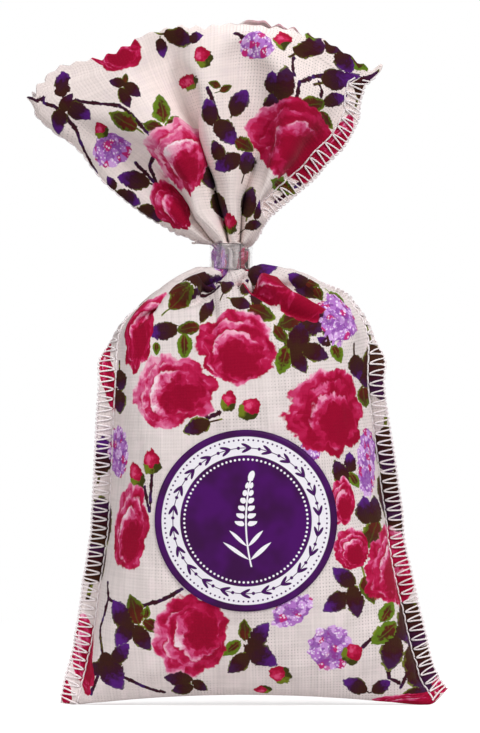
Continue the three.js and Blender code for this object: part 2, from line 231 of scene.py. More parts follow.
@dataclass(frozen=True)
class Gathers:
    """How the cloth is folded into the neck, in shares from -1 at the left seam to 1 at the right."""

    front_valleys: tuple[float, ...] = (-0.80, -0.53, -0.12, 0.14, 0.38, 0.62, 0.84)
    back_valleys: tuple[float, ...] = (-0.82, -0.55, -0.30, 0.00, 0.27, 0.52, 0.80)
    front_lobes: tuple[float, ...] = (1.0, 1.6, 7.0, 5.5, 5.5, 3.0, 6.0, 2.0)
    back_lobes: tuple[float, ...] = (2.0, 4.0, 4.0, 5.0, 5.0, 4.5, 4.0, 2.0)
    # Share at the tape, share at the tuck's foot, share of the pouch at its foot, depth
    front_tucks: Table = (
        (-0.70, -0.80, 0.84, 3.0), (-0.15, -0.42, 0.85, 4.0), (-0.10, -0.16, 0.76, 2.4),
        (0.16, 0.46, 0.79, 5.0), (0.52, 0.68, 0.82, 3.5))
    back_tucks: Table = (
        (-0.72, -0.80, 0.84, 3.0), (-0.40, -0.52, 0.80, 4.0), (-0.05, -0.12, 0.77, 4.0),
        (0.20, 0.30, 0.83, 3.0), (0.50, 0.66, 0.80, 4.5))

    def lobes(self, share: Array, front: Array, even: bool) -> Array:
        """Height of the rounded lobes between the valleys.

        Args:
            share: places across the panel.
            front: true where the place is on the front panel.
            even: whether all lobes are one high, as under the tape.

        Returns:
            The height at each place.
        """
        faces = []
        panels = ((self.front_valleys, self.front_lobes), (self.back_valleys, self.back_lobes))
        for valleys, heights in panels:
            marks = np.array([-1.0, *valleys, 1.0])
            i = np.clip(np.searchsorted(marks, share, side="right") - 1, 0, len(marks) - 2)
            part = (share - marks[i]) / (marks[i + 1] - marks[i])
            tall = np.ones(len(heights)) if even else np.array(heights)
            faces.append(tall[i] * np.abs(np.sin(np.pi * part)) ** 0.6)
        return np.where(front, faces[0], faces[1])

    def tucks(self, share: Array, rise: Array, front: Array) -> Array:
        """Depth to which the valleys below the tape are drawn in.

        Args:
            share: places across the panel.
            rise: places up the pouch, from 0 at the base to 1 at the tape.
            front: true where the place is on the front panel.

        Returns:
            The depth at each place.
        """
        deep = np.zeros_like(share)
        for face, rows in ((front, self.front_tucks), (~front, self.back_tucks)):
            for near, far, foot, depth in rows:
                part = np.clip((rise - foot) / (1 - foot), 0, 1)
                middle = far + (near - far) * part
                cut = np.exp(-((share - middle) / (0.075 - 0.03 * part)) ** 2)
                cut *= depth * ease(part, 0, 0.5) * (1 - 0.6 * ease(part, 0.7, 1))
                deep = np.maximum(deep, cut * face)
        return deep


@dataclass
class Mould:
    """The limits that the filling, the floor and the hands that dressed it set to the cloth."""

    cut: Cut
    belly: float = 18.8
    belly_height: float = 46.0
    below_belly: float = 46.5
    above_belly: float = 52.6
    half_width: float = 30.0
    flatter: float = 0.28
    arch: float = 2.4
    arch_half_width: float = 38.0
    flange_sway: float = 0.8
    frill_sway: float = 3.0
    frill_open: float = 9.5
    frill_closing: float = 3.5
    half_gap: float = 0.25
    seam_pull: float = 0.3
    ear_pull: float = 0.2
    # Height, then the furthest left and right that the cloth reaches
    outline: Table = (
        (0, -41.5, 42.6), (5.4, -40.3, 46.2), (9, -39.5, 43.6), (12, -38.8, 41.7), (20, -37.9, 39),
        (36, -35.6, 35.4), (55, -33.8, 33.2), (74, -32.6, 30.8), (82, -30, 28.5), (87, -26.9, 26),
        (91, -22.8, 22.9), (94.6, -17, 18.4), (97, -12.8, 11.9), (99, -8.5, 6), (103, -8, 5))
    left_seam: Table = ((-7.7, 0.3, 102.8), (-26, 2, 107), (-48.8, 2.5, 135.5))
    right_seam: Table = ((2.4, 0, 103), (14, -0.5, 112), (30.9, -1.5, 142.7))
    left_ear: tuple[float, ...] = (-41.4, 0, 0.4)
    right_ear: tuple[float, ...] = (46.2, 0, 5.2)

    def depth(self, x: Array, z: Array) -> Array:
        """Half depth of the filled pouch.

        Args:
            x: places across.
            z: heights.

        Returns:
            How far the cloth stands from the middle plane.
        """
        below = np.clip((self.belly_height - z) / self.below_belly, 0, 1)
        above = np.clip((z - self.belly_height) / self.above_belly, 0, 1)
        low = np.clip(1 - below ** 1.9, 0, 1) ** 0.62
        high = np.clip(1 - above ** 3, 0.03, 1) ** 0.5
        sides = 1 - self.flatter * (x / self.half_width) ** 2
        return self.belly * np.where(z < self.belly_height, low, high) * sides

    def sides(self, z: Array) -> tuple[Array, Array]:
        """Left and right limits of the pouch at a height."""
        table = np.array(self.outline)
        return np.interp(z, table[:, 0], table[:, 1]), np.interp(z, table[:, 0], table[:, 2])

    def press(self, cloth: "ClothSolver") -> None:
        """Move the points that are past a limit back to it.

        Args:
            cloth: the cloth that is being relaxed.
        """
        x, y, z = (cloth.points[..., k] for k in range(3))
        cut = self.cut
        pouch = cloth.reach < cut.pouch
        floor = self.arch * np.clip(1 - (x / self.arch_half_width) ** 2, 0, 1)
        np.copyto(z, np.maximum(z, floor), where=pouch)
        deep = np.maximum(self.depth(x, z) - cloth.tuck, 0.5)
        np.copyto(y, np.clip(y, -deep, deep), where=pouch)
        left, right = self.sides(z)
        np.copyto(x, np.clip(x, left, right), where=pouch)
        frill = cloth.reach > cut.tape_top
        share = np.clip((cloth.reach - cut.tape_top) / cut.frill, 0, 1)
        open_to = self.frill_open - self.frill_closing * ease(share, 0.5, 1)
        np.copyto(y, np.clip(y, -open_to, -self.half_gap), where=frill & cloth.front)
        np.copyto(y, np.clip(y, self.half_gap, open_to), where=frill & ~cloth.front)
        sway = np.where(pouch, self.flange_sway, self.frill_sway)
        for columns in cloth.flanges:
            y[:, columns] = np.clip(y[:, columns], -sway[:, columns], sway[:, columns])
        self.guide(cloth)

    def guide(self, cloth: "ClothSolver") -> None:
        """Draw the frill's seams and the base corners towards where they lie.

        Args:
            cloth: the cloth that is being relaxed.
        """
        base = cloth.grid.base
        heights = cloth.grid.along[:, 0]
        rows = np.where(heights > self.cut.tape_top)[0]
        t = ((heights[rows] - self.cut.tape_top) / self.cut.frill)[:, None]
        stitched = cloth.flanges[0].stop - 1
        for column, line in ((stitched, self.left_seam), (-1, self.right_seam)):
            root, bend, tip = (np.array(p) for p in line)
            want = root * (1 - t) ** 2 + bend * 2 * t * (1 - t) + tip * t * t
            for panel in (rows, 2 * base - rows):
                cloth.points[panel, column] += self.seam_pull * (want - cloth.points[panel, column])
        for column, ear in ((0, self.left_ear), (-1, self.right_ear)):
            cloth.points[base, column] += self.ear_pull * (np.array(ear) - cloth.points[base, column])


class ClothSolver:
    """Relaxes the strip with stretch, shear and bending, under the pressure of the filling."""

    shear: float = 0.25
    stiffness: float = 0.03
    slack: float = 0.1
    # Share of the pressure that the neck's folds take up, between two heights
    held: float = 0.4
    held_from: float = 76.0
    held_to: float = 95.0

    def __init__(self, grid: ClothGrid, cut: Cut, gathers: Gathers) -> None:
        """Set up the links of a strip whose rows under the tape stay where they are.

        Args:
            grid: the strip to relax, whose points move.
            cut: its flat sizes.
            gathers: how it is folded into the neck.
        """
        self.grid = grid
        self.cut = cut
        self.points = grid.points
        self.before = self.points.copy()
        self.reach = np.abs(grid.along)
        self.front = grid.along > 0
        self.row_step = abs(grid.along[1, 0] - grid.along[0, 0])
        self.column_step = abs(grid.across[0, 1] - grid.across[0, 0])
        seam_columns = int(round(cut.seam / self.column_step)) + 1
        self.flanges = (slice(0, seam_columns), slice(-seam_columns, None))
        self.tied = (self.reach >= cut.pouch - self.slack) & (self.reach <= cut.tape_top + self.slack)
        self.free = np.where(self.tied, 0.0, 1.0)
        self.tied_points = self.points[self.tied].copy()
        self.share = grid.across / cut.stitch_line
        self.tuck = gathers.tucks(self.share, np.clip(self.reach / cut.pouch, 0, 1), self.front)
        self.inside = (self.reach < cut.pouch) & (np.abs(grid.across) < cut.stitch_line)
        self.links = self.make_links()

    def make_links(self) -> list[tuple]:
        """Links between neighbours, in groups that share no point.

        Returns:
            For each group, its two slices, rest lengths, two weights and how far it resists being pressed.
        """
        cut = self.cut
        gap = np.minimum(np.abs(self.reach - cut.pouch), np.abs(self.reach - cut.tape_top))
        gap[self.tied] = 0
        stiff = np.where(self.reach > cut.pouch, ease(gap, 0.5, 5), ease(gap, 1, 7))
        share = np.clip(self.share, -1, 1)
        drawn = np.where(self.reach < cut.pouch, 1 + cut.tilt * share / cut.pouch, 1.0)
        drawn = np.where(self.reach > cut.tape_top, 1 - cut.tilt * share / cut.frill, drawn)
        every, left, right = slice(None), slice(None, -1), slice(1, None)
        diagonal = math.hypot(self.row_step, self.column_step)
        pairs = [(slice(o, -1, 2), slice(o + 1, None, 2)) for o in (0, 1)]
        groups = [((every, near), (every, far), self.column_step, 1.0, True) for near, far in pairs]
        for near, far in pairs:
            groups.append(((near, every), (far, every), self.row_step * drawn[near], 1.0, False))
        for near, far in pairs:
            for a, b in ((left, right), (right, left)):
                groups.append(((near, a), (far, b), diagonal, self.shear, True))
        links = []
        for a, b, rest, stiffness, softens in groups:
            total = np.maximum(self.free[a] + self.free[b], 1e-9)
            weight_a = (stiffness * self.free[a] / total)[..., None]
            weight_b = (stiffness * self.free[b] / total)[..., None]
            press = np.minimum(stiff[a], stiff[b]) if softens else np.ones_like(total)
            links.append((a, b, rest, weight_a, weight_b, press))
        return links

    def stretch(self) -> None:
        """Draw every link towards its rest length."""
        for a, b, rest, weight_a, weight_b, press in self.links:
            gap = self.points[b] - self.points[a]
            length = np.sqrt(np.einsum("ijk,ijk->ij", gap, gap)) + 1e-9
            change = (length - rest) / length
            gap *= np.where(change < 0, change * press, change)[..., None]
            self.points[a] += gap * weight_a
            self.points[b] -= gap * weight_b

    def bend(self) -> None:
        """Flatten sharp turns between three points in a row or a column."""
        free = self.free[..., None]
        for axis in (1, 0):
            rows = np.swapaxes(self.points, 0, axis)
            loose = np.swapaxes(free, 0, axis)
            turn = rows[:-2] - 2 * rows[1:-1] + rows[2:]
            rows[1:-1] += 0.5 * self.stiffness * turn * loose[1:-1]
            rows[:-2] -= 0.25 * self.stiffness * turn * loose[:-2]
            rows[2:] -= 0.25 * self.stiffness * turn * loose[2:]

    def sew(self) -> None:
        """Hold the two panels together along both seams."""
        for columns in self.flanges:
            self.grid.join(columns)

    def push(self, pressure: float) -> None:
        """Press the pouch out along its normals, less near the neck.

        Args:
            pressure: how far a flat cell moves in one step.
        """
        along_columns = np.zeros_like(self.points)
        along_rows = np.zeros_like(self.points)
        along_columns[:, 1:-1] = (self.points[:, 2:] - self.points[:, :-2]) / (2 * self.column_step)
        along_rows[1:-1] = (self.points[2:] - self.points[:-2]) / (2 * self.row_step)
        held = self.held * ease(self.points[..., 2], self.held_from, self.held_to)
        force = pressure * self.inside * (1 - held) * self.free
        self.points += np.cross(along_columns, along_rows) * force[..., None]

    def run(self, steps: int, rounds: int, pressure: float, damping: float, mould: Mould) -> None:
        """Relax the cloth.

        Args:
            steps: time steps.
            rounds: rounds of links in each step.
            pressure: of the filling.
            damping: share of its speed that a point keeps.
            mould: the limits to the cloth.
        """
        for _ in range(steps):
            speed = (self.points - self.before) * damping
            self.before[...] = self.points
            self.points += speed
            self.push(pressure)
            for _ in range(rounds):
                self.stretch()
                self.bend()
                self.sew()
                mould.press(self)
                self.points[self.tied] = self.tied_points


class FirstShape:
    """The strip folded roughly into shape, before it is relaxed."""

    def __init__(self, bag: "SewnBag") -> None:
        """Lay the strip out at the coarse cell size.

        Args:
            bag: its sizes.
        """
        self.bag = bag
        self.cut = cut = bag.cut
        rows = int(round(cut.length / bag.coarse_cell))
        columns = int(round(cut.width / bag.coarse_cell))
        v = (np.arange(2 * rows + 1) - rows) * (cut.length / rows)
        u = (np.arange(columns + 1) - columns / 2) * (cut.width / columns)
        self.along, self.across = np.meshgrid(v, u, indexing="ij")
        self.front = self.along >= 0
        self.side = np.where(self.front, -1.0, 1.0)
        self.reach = np.abs(self.along)
        self.share = self.across / cut.stitch_line
        self.inner = np.clip(self.share, -1, 1)
        self.angle = self.inner * np.pi / 2
        lobes = bag.gathers.lobes(self.inner, self.front, True)
        self.radius = bag.crease_radius + (bag.bundle_radius - bag.crease_radius) * lobes

    def grid(self) -> ClothGrid:
        """Fold the strip.

        Returns:
            The pouch, the neck and the frill.
        """
        below = (self.reach < self.cut.pouch)[..., None]
        under = (self.reach <= self.cut.tape_top)[..., None]
        points = np.where(below, self.pouch(), np.where(under, self.neck(), self.frill()))
        return ClothGrid(np.ascontiguousarray(points), self.across, self.along)

    def pouch(self) -> Array:
        """Ovals of cloth that close towards the neck.

        Returns:
            A point for each place.
        """
        table = np.array(self.bag.sections)
        rise = np.clip(self.reach / self.cut.pouch, 0, 1)
        z, wide, deep = (np.interp(rise, table[:, 0], table[:, k]) for k in (1, 2, 3))
        tuck = self.bag.gathers.tucks(self.share, rise, self.along > 0)
        flange = np.clip(np.abs(self.across) - self.cut.stitch_line, 0, None) * np.sign(self.across)
        x = wide * np.sin(self.angle) + flange * ease(1 - rise, 0, 0.15)
        x += self.bag.neck_x * ease(rise, 0.75, 1)
        y = self.side * (deep * np.cos(self.angle) ** 0.9 - tuck)
        return np.stack([x, y, z - 0.5 * tuck], -1)

    def neck(self) -> Array:
        """The bundle under the tape.

        Returns:
            A point for each place.
        """
        bag = self.bag
        rise = np.clip((self.reach - self.cut.pouch) / self.cut.band, 0, 1)
        x = bag.neck_x + self.radius * np.sin(self.angle)
        y = self.side * np.maximum(self.radius * np.cos(self.angle), 0.25)
        return np.stack([x, y, bag.tape_low + rise * (bag.tape_high - bag.tape_low)], -1)

    def frill(self) -> Array:
        """A fan that curves out of the neck.

        Returns:
            A point for each place.
        """
        bag = self.bag
        t = np.clip((self.reach - self.cut.tape_top) / self.cut.frill, 0, 1)
        tip_angle = np.radians(-6.8 + 47.0 * self.share)
        bend_angle = np.radians(-13.8 + 66.0 * self.share)
        tip_reach = self.cut.frill - 4 + 3.5 * self.inner * self.inner
        x = bag.bundle_radius * np.sin(self.angle) * (1 - t) ** 2
        x += 22 * np.sin(bend_angle) * 2 * t * (1 - t) + tip_reach * np.sin(tip_angle) * t * t
        z = 22 * np.cos(bend_angle) * 2 * t * (1 - t) + tip_reach * np.cos(tip_angle) * t * t
        swell = ease(t, 0, 0.12) * (1 - 0.6 * ease(t, 0.3, 1))
        y = 0.3 + (1 - ease(t, 0, 0.2)) * self.radius * np.cos(self.angle)
        lobes = bag.gathers.lobes(self.inner, self.front, False)
        y += lobes * swell + 1.5 * ease(t, 0, 0.3) * np.cos(self.angle)
        return np.stack([bag.neck_x + x, self.side * y, bag.tape_high + z], -1)


@dataclass
class SewnBag:
    """The whole strip: pouch, neck and frill, as one relaxed piece of cloth."""

    cut: Cut = Cut()
    gathers: Gathers = Gathers()
    neck_x: float = -3.4
    tape_low: float = 97.2
    tape_high: float = 102.8
    bundle_radius: float = 4.3
    crease_radius: float = 1.0
    coarse_cell: float = 2.0
    unevenness: float = 0.05
    steps: int = 240
    rounds: int = 8
    coarse_pressure: float = 0.07
    coarse_damping: float = 0.9
    fine_pressure: float = 0.03
    fine_damping: float = 0.85
    pinking_pitch: float = 3.4
    pinking_depth: float = 1.2
    layer_gap: float = 0.2
    flange_turn: float = 118.0
    label_height: float = 41.7
    label_radius: float = 20.2
    crease_start: float = 0.12
    crease_fade: float = 0.55
    # Depth and half width of each crease, height of the ridge over it, and its cloth places downwards
    creases: tuple[tuple[float, float, float, Table], ...] = (
        (3, 1.4, 1.3, ((-4, 110), (-6, 103), (-7, 97), (-9, 94.8), (-12, 93.6), (-19, 92))),
        (1.5, 0.9, 0, ((-5, 106), (-6.5, 97), (-5.5, 90.5), (-6.5, 80))),
        (3.2, 1.3, 1.3, ((2, 110), (4, 96.5), (8, 93), (13.5, 90), (21, 86.5), (26, 84))),
        (1.2, 0.9, 0, ((1, 109), (0, 95.5), (1, 89))),
        (1.4, 1.2, 0.5, ((11, 110), (26, 102), (28, 92.5), (26.5, 82))))
    # Valleys between the frill's folds above the tape, and the height and lean of the fold after each
    front_folds: Table = ((-39, 0.55, 0), (-28, 1, -3.2), (-4, 1, 0.8), (18, 0.95, 1.2), (39, 0, 0))
    back_folds: Table = ((-39, 0.9, -1), (-18, 1, 0), (14, 0.9, 1), (39, 0, 0))
    fold_depth: float = 4.0
    fold_growth: float = 0.2
    fold_sharpness: float = 0.55
    fold_spread: float = 9.0
    fold_root: float = 1.2
    fold_fade: tuple[float, float] = (12.0, 30.0)
    # Height, and how far round to the front each side seam lies there
    left_slide: Table = ((38, 0), (48, 3.5), (58, 6.5), (68, 9), (75, 11), (80, 10.5), (85, 6), (91, 0))
    right_slide: Table = ((38, 0), (48, 4), (58, 8), (66, 10), (74, 11), (79, 10), (84, 6), (90, 0))
    slide_reach: float = 28.0
    slide_spread: float = 3.0
    lay_start: float = 71.0
    lay_end: float = 82.0
    lay_share: float = 0.85
    edge_from: float = 8.0
    # Cloth length from the base, and how far to the right each side edge is moved there
    left_edge: Table = (
        (0, 0), (8, -0.6), (18, -1.2), (30, -1.2), (42, 0), (150, 0), (155, 0.9), (158, 1.7), (161, 1.6),
        (163.5, 0), (167, -1), (170, 0))
    right_edge: Table = (
        (119, 0), (123, -1), (127, -2.6), (133, -3.4), (136, -2.7), (142, -1.1), (145, 0), (149, 0.3),
        (153, 1.6), (156, 1.6), (160, 1.1), (164, -0.9), (167, -1.8), (170, 0))
    # Share across the strip, and how far the frill's edge flares out there
    flare: Table = (
        (-1, 1), (-0.9, 3.5), (-0.75, 4.2), (-0.6, 2), (-0.45, 0), (0.1, 0), (0.4, 3.5), (0.55, 4.2),
        (0.75, 3.5), (0.9, 2), (1, 1))
    lump_height: float = 0.22
    wrinkle_depth: float = 0.28
    wrinkle_pitch: float = 2.6
    wrinkle_below: float = 17.0
    wrinkle_above: float = 11.0
    frill_wrinkles: float = 0.3
    # Share of the pouch's cloth, height, half width and half depth of the first shape
    sections: Table = (
        (0, 1.5, 38.5, 3), (0.11, 12.5, 36.3, 10.5), (0.28, 32, 32.3, 17), (0.48, 53, 29.6, 18.5),
        (0.66, 72, 28, 17.5), (0.77, 83, 26.5, 16), (0.86, 91, 21, 13), (0.93, 96.5, 12, 8.5),
        (1, 97.2, 4.3, 4.3))

    def __post_init__(self) -> None:
        """Relax the cloth and finish its edges."""
        self.mould = Mould(self.cut)
        self.grid = self.relaxed()
        self.label_fit = self.fit_label()
        self.slide_seam(Side.LEFT, self.left_slide)
        self.slide_seam(Side.RIGHT, self.right_slide)
        self.draw_folds()
        self.shift_edges()
        self.flare_edge()
        self.fold_left_flange()
        self.finish_flanges()
        self.fill_lumps()
        self.press_creases()
        self.seat_label()
        self.pink_edges()

    def relaxed(self) -> ClothGrid:
        """The strip relaxed on a coarse and then on a finer grid.

        Returns:
            The strip with cells a quarter of the coarse ones.
        """
        coarse = ClothSolver(FirstShape(self).grid(), self.cut, self.gathers)
        draw = np.random.default_rng(4)
        coarse.points[..., 1] += draw.normal(0, self.unevenness, coarse.reach.shape) * coarse.free
        coarse.before[...] = coarse.points
        steps = self.steps
        coarse.run(steps, self.rounds, self.coarse_pressure, self.coarse_damping, self.mould)
        fine = ClothSolver(coarse.grid.refined(), self.cut, self.gathers)
        fine.run(steps // 4, self.rounds, self.fine_pressure, self.fine_damping, self.mould)
        return fine.grid.refined()

    def fold_left_flange(self) -> None:
        """Turn the frill's left seam allowance towards the back, where the front doesn't show it."""
        grid = self.grid
        out = np.clip(-grid.across - self.cut.stitch_line, 0, None)
        line = int(np.argmin(np.abs(grid.across[0] + self.cut.stitch_line)))
        outward = grid.points[:, line] - grid.points[:, line + 6]
        outward = unit(outward + outward[::-1])
        share = ease(np.abs(grid.along[:, 0]) - self.cut.tape_top, 0.5, 6)
        turn = (math.radians(self.flange_turn) * share)[:, None]
        way = np.cos(turn) * outward + np.sin(turn) * np.array([0.0, 1.0, 0.0])
        folded = grid.points[:, line, None] + out[..., None] * way[:, None]
        grid.points[...] = np.where((out > 0)[..., None] & (share > 0)[:, None, None], folded, grid.points)

    def finish_flanges(self) -> None:
        """Part the layers of each flange by the cloth's thickness, and bring their outer edges together."""
        grid = self.grid
        base = grid.base
        out = np.abs(grid.across)
        apart = self.layer_gap * ease(out, self.cut.stitch_line - 1.5, self.cut.stitch_line)
        apart *= 1 - ease(out, self.cut.width / 2 - 0.7, self.cut.width / 2)
        shift = grid.normals()[base:] * apart[base:, :, None]
        reach = np.abs(grid.along[base:])
        shift[(reach > self.cut.pouch - 0.1) & (reach < self.cut.tape_top + 0.1)] = 0
        shift[0] = 0
        grid.points[base:] += shift
        grid.points[base::-1] -= shift
        grid.join(0)
        grid.join(-1)

    def fill_lumps(self) -> None:
        """Let the loose filling show as low soft lumps in the pouch."""
        grid = self.grid
        u, v = grid.across, grid.along
        lumps = np.sin(0.41 * u + 0.9 * np.sin(0.13 * v)) * np.sin(0.37 * v + 1.3 * np.sin(0.17 * u))
        lumps += 0.6 * np.sin(0.83 * u - 0.31 * v + 1.0) * np.sin(0.62 * v + 0.4 * u)
        fade = ease(self.cut.stitch_line - np.abs(u), 0, 14) * ease(self.cut.pouch - np.abs(v), 12, 40)
        fade *= ease(np.abs(v), 1, 14)
        grid.points += grid.normals() * (self.lump_height * lumps * fade)[..., None]

    def press_creases(self) -> None:
        """Press sharp creases into the gathers below the tape, some with a ridge over their upper side."""
        grid = self.grid
        dent = np.zeros_like(grid.across)
        ridge = np.zeros_like(grid.across)
        for depth, width, crest, places in self.creases:
            away, passed = self.from_line(np.array(places))
            ends = ease(passed, 0, self.crease_start) * (1 - ease(passed, self.crease_fade, 1))
            ends *= grid.along > 0
            dent = np.maximum(dent, depth * ends * np.exp(-(away / width) ** 2))
            ridge = np.maximum(ridge, crest * ends * np.exp(-((away - 2 * width) / (1.4 * width)) ** 2))
        grid.points += grid.normals() * (ridge - dent - self.wrinkles())[..., None]

    def from_line(self, line: Array) -> tuple[Array, Array]:
        """Measure the cloth from a line that is drawn on it.

        Args:
            line: its corners, from the tape downwards.

        Returns:
            Distance from the line, positive over it, and the share of the line that is passed there.
        """
        places = np.stack([self.grid.across, self.grid.along], -1)
        nearest = np.full(places.shape[:2], np.inf)
        passed = np.zeros(places.shape[:2])
        steps = np.diff(line, axis=0)
        lengths = np.linalg.norm(steps, axis=1)
        starts = np.cumsum(lengths) - lengths
        upper = math.copysign(1.0, line[-1, 0] - line[0, 0])
        for corner, step, length, start in zip(line, steps, lengths, starts):
            offset = places - corner
            share = np.clip(offset @ step / length ** 2, 0, 1)
            distance = np.linalg.norm(offset - share[..., None] * step, axis=-1)
            side = np.copysign(upper, upper * (step[0] * offset[..., 1] - step[1] * offset[..., 0]))
            closer = distance < np.abs(nearest)
            nearest = np.where(closer, distance * side, nearest)
            passed = np.where(closer, start + share * length, passed)
        return nearest, passed / lengths.sum()

    def wrinkles(self) -> Array:
        """Fine wrinkles that run out of the tape on both sides.

        Returns:
            Their depth at each place.
        """
        grid = self.grid
        u, reach = grid.across, np.abs(grid.along)
        away = np.maximum(np.maximum(self.cut.pouch - reach, reach - self.cut.tape_top), 0)
        below = reach < self.cut.pouch
        run = np.where(below, self.wrinkle_below, self.wrinkle_above)
        fade = np.exp(-(away / run) ** 2) * ease(away, 0, 2) * np.where(below, 1.0, self.frill_wrinkles)
        wander = u + 0.9 * np.sin(0.23 * reach + 0.5 * u) + 0.6 * np.sin(0.61 * u + np.sign(grid.along))
        ridge = np.abs(np.sin(np.pi * wander / self.wrinkle_pitch))
        uneven = 0.6 + 0.4 * np.sin(0.37 * u + 2.0)
        return self.wrinkle_depth * (1 - ridge) * uneven * fade * 2

    def slide_seam(self, side: Side, table: Table) -> None:
        """Move a side seam round to the front over the shoulder, with its flange standing out.

        Args:
            side: the seam.
            table: heights, and how far the seam moves there.
        """
        grid = self.grid
        cell = grid.across[0, 1] - grid.across[0, 0]
        inner = np.flatnonzero(np.abs(grid.across[0]) < self.cut.stitch_line + 0.01)
        order = inner if side is Side.LEFT else inner[::-1]
        count = len(order)
        rows = np.flatnonzero((grid.along[:, 0] > 0) & (grid.along[:, 0] < self.cut.pouch - 4))
        backs = 2 * grid.base - rows
        front, back = grid.points[rows[:, None], order], grid.points[backs[:, None], order]
        slide = np.interp(front[:, 0, 2], *np.array(table).T)
        slide = np.maximum(self.even_out(len(rows), cell, self.slide_spread + 1) @ slide, 0)
        share = ease(slide, 0, 3)[:, None, None]
        away = np.arange(1 - count, count) * cell
        loop = np.concatenate([back[:, :0:-1], front], axis=1)
        even = np.einsum("ij,rjk->rik", self.even_out(len(away), cell, self.slide_spread), loop)
        loop = loop + share * (1 - ease(np.abs(away), 6, 14))[:, None] * (even - loop)
        moved = away + slide[:, None] * (1 - ease(np.abs(away), 0, self.slide_reach))
        place = np.clip(moved / cell + count - 1, 0, 2 * count - 2.001)
        low = place.astype(int)
        part = (place - low)[..., None]
        line = np.arange(len(rows))[:, None]
        slid = loop[line, low] * (1 - part) + loop[line, low + 1] * part
        stitch, before = slid[:, count - 1], front[:, 0]
        forward = unit(slid[:, count + 5] - slid[:, count - 7])
        stand = unit(np.cross(forward, np.gradient(stitch, axis=0)) * -side.value)
        lay = ease(stitch[:, 2:], self.lay_start, self.lay_end)
        stand = unit(stand * (1 - self.lay_share * lay) - forward * lay)
        outer = np.flatnonzero(side.value * grid.across[0] > self.cut.stitch_line + 0.01)
        out = (np.abs(grid.across[0, outer]) - self.cut.stitch_line)[:, None]
        for panel, points in ((rows, slid[:, count - 1:]), (backs, slid[:, count - 1::-1])):
            flange = grid.points[panel[:, None], outer] + (stitch - before)[:, None]
            flange += share * (stitch[:, None] + out * stand[:, None] - flange)
            grid.points[panel[:, None], outer] = flange
            grid.points[panel[:, None], order] = points

    def draw_folds(self) -> None:
        """Draw the frill's cloth out of the tape in a few round folds with sharp valleys between them."""
        grid = self.grid
        reach = np.abs(grid.along[:, 0]) - self.cut.tape_top
        share = ease(reach, 0, self.fold_root) * (1 - ease(reach, *self.fold_fade))
        inner = np.flatnonzero(np.abs(grid.across[0]) < self.cut.stitch_line + 0.01)
        even = self.even_out(len(inner), grid.across[0, 1] - grid.across[0, 0], self.fold_spread)
        for sign, table in ((1, self.front_folds), (-1, self.back_folds)):
            rows = np.flatnonzero((share > 0) & (np.sign(grid.along[:, 0]) == sign))
            points = grid.points[rows[:, None], inner]
            target = np.einsum("ij,rjk->rik", even, points)
            fold, lean = self.folds(grid.across[0, inner], table)
            deep = self.fold_depth + self.fold_growth * reach[rows]
            target[..., 0] += ease(reach[rows], 1, 9)[:, None] * lean
            target[..., 1] = -sign * (self.layer_gap + deep[:, None] * fold)
            shift = np.zeros_like(grid.points[rows])
            shift[:, inner] = share[rows, None, None] * (target - points)
            shift[:, :inner[0]] = shift[:, inner[:1]]
            shift[:, inner[-1] + 1:] = shift[:, inner[-1:]]
            grid.points[rows] += shift

    @staticmethod
    def even_out(count: int, cell: float, spread: float) -> Array:
        """Weights that smooth a row of points across its folds and keep its two ends.

        Args:
            count: points in the row.
            cell: distance between them.
            spread: how far the smoothing reaches.

        Returns:
            One row of weights for each point.
        """
        half = int(3 * spread / cell)
        bell = np.exp(-0.5 * (np.arange(-half, half + 1) * cell / spread) ** 2)
        bell /= bell.sum()
        padded = np.pad(np.eye(count), ((half, half), (0, 0)), mode="reflect", reflect_type="odd")
        return sum(weight * padded[k:k + count] for k, weight in enumerate(bell))

    def folds(self, across: Array, table: Table) -> tuple[Array, Array]:
        """Height and lean of a row of folds.

        Args:
            across: distance from the strip's middle.
            table: where the folds meet, and their heights and leans.

        Returns:
            The height and the lean at each place.
        """
        low, heights, leans = np.array(table).T
        index = np.clip(np.searchsorted(low, across, side="right") - 1, 0, len(low) - 2)
        crest = np.sin(np.pi * np.clip((across - low[index]) / (low[index + 1] - low[index]), 0, 1))
        return heights[index] * crest ** self.fold_sharpness, leans[index] * crest

    def shift_edges(self) -> None:
        """Move the side edges in and out to where they lie on the real bag."""
        grid = self.grid
        for side, table in ((Side.LEFT, self.left_edge), (Side.RIGHT, self.right_edge)):
            near = ease(side.value * grid.across, self.edge_from, self.cut.stitch_line)
            grid.points[..., 0] += near * np.interp(np.abs(grid.along), *np.array(table).T)

    def flare_edge(self) -> None:
        """Spread the frill's edge where it stands out furthest."""
        grid = self.grid
        share = np.clip(grid.across / self.cut.stitch_line, -1, 1)
        rise = np.clip((np.abs(grid.along) - self.cut.tape_top) / self.cut.frill, 0, 1)
        way = unit(np.gradient(grid.points, axis=0) * np.sign(grid.along)[..., None])
        extra = np.interp(share, *np.array(self.flare).T) * rise * rise
        grid.points += way * extra[..., None]

    def fit_label(self) -> Array:
        """Fit a smooth curve to the front where the label lies.

        Returns:
            The six terms of the curve, for 1, x, z, xx, xz and zz from the label's middle.
        """
        points = self.grid.points[self.grid.along > 0]
        x, z = points[:, 0], points[:, 2] - self.label_height
        near = np.hypot(x, z) < self.label_radius
        terms = self.label_terms(x[near], z[near])
        return np.linalg.lstsq(terms, points[near, 1], rcond=None)[0]

    @staticmethod
    def label_terms(x: Array, z: Array) -> Array:
        """Terms of the label's curve at places from its middle."""
        return np.stack([np.ones_like(x), x, z, x * x, x * z, z * z], -1)

    def label_face(self, x: Array, z: Array) -> Array:
        """Depth of the cloth under the label at places from its middle."""
        return self.label_terms(x, z) @ self.label_fit

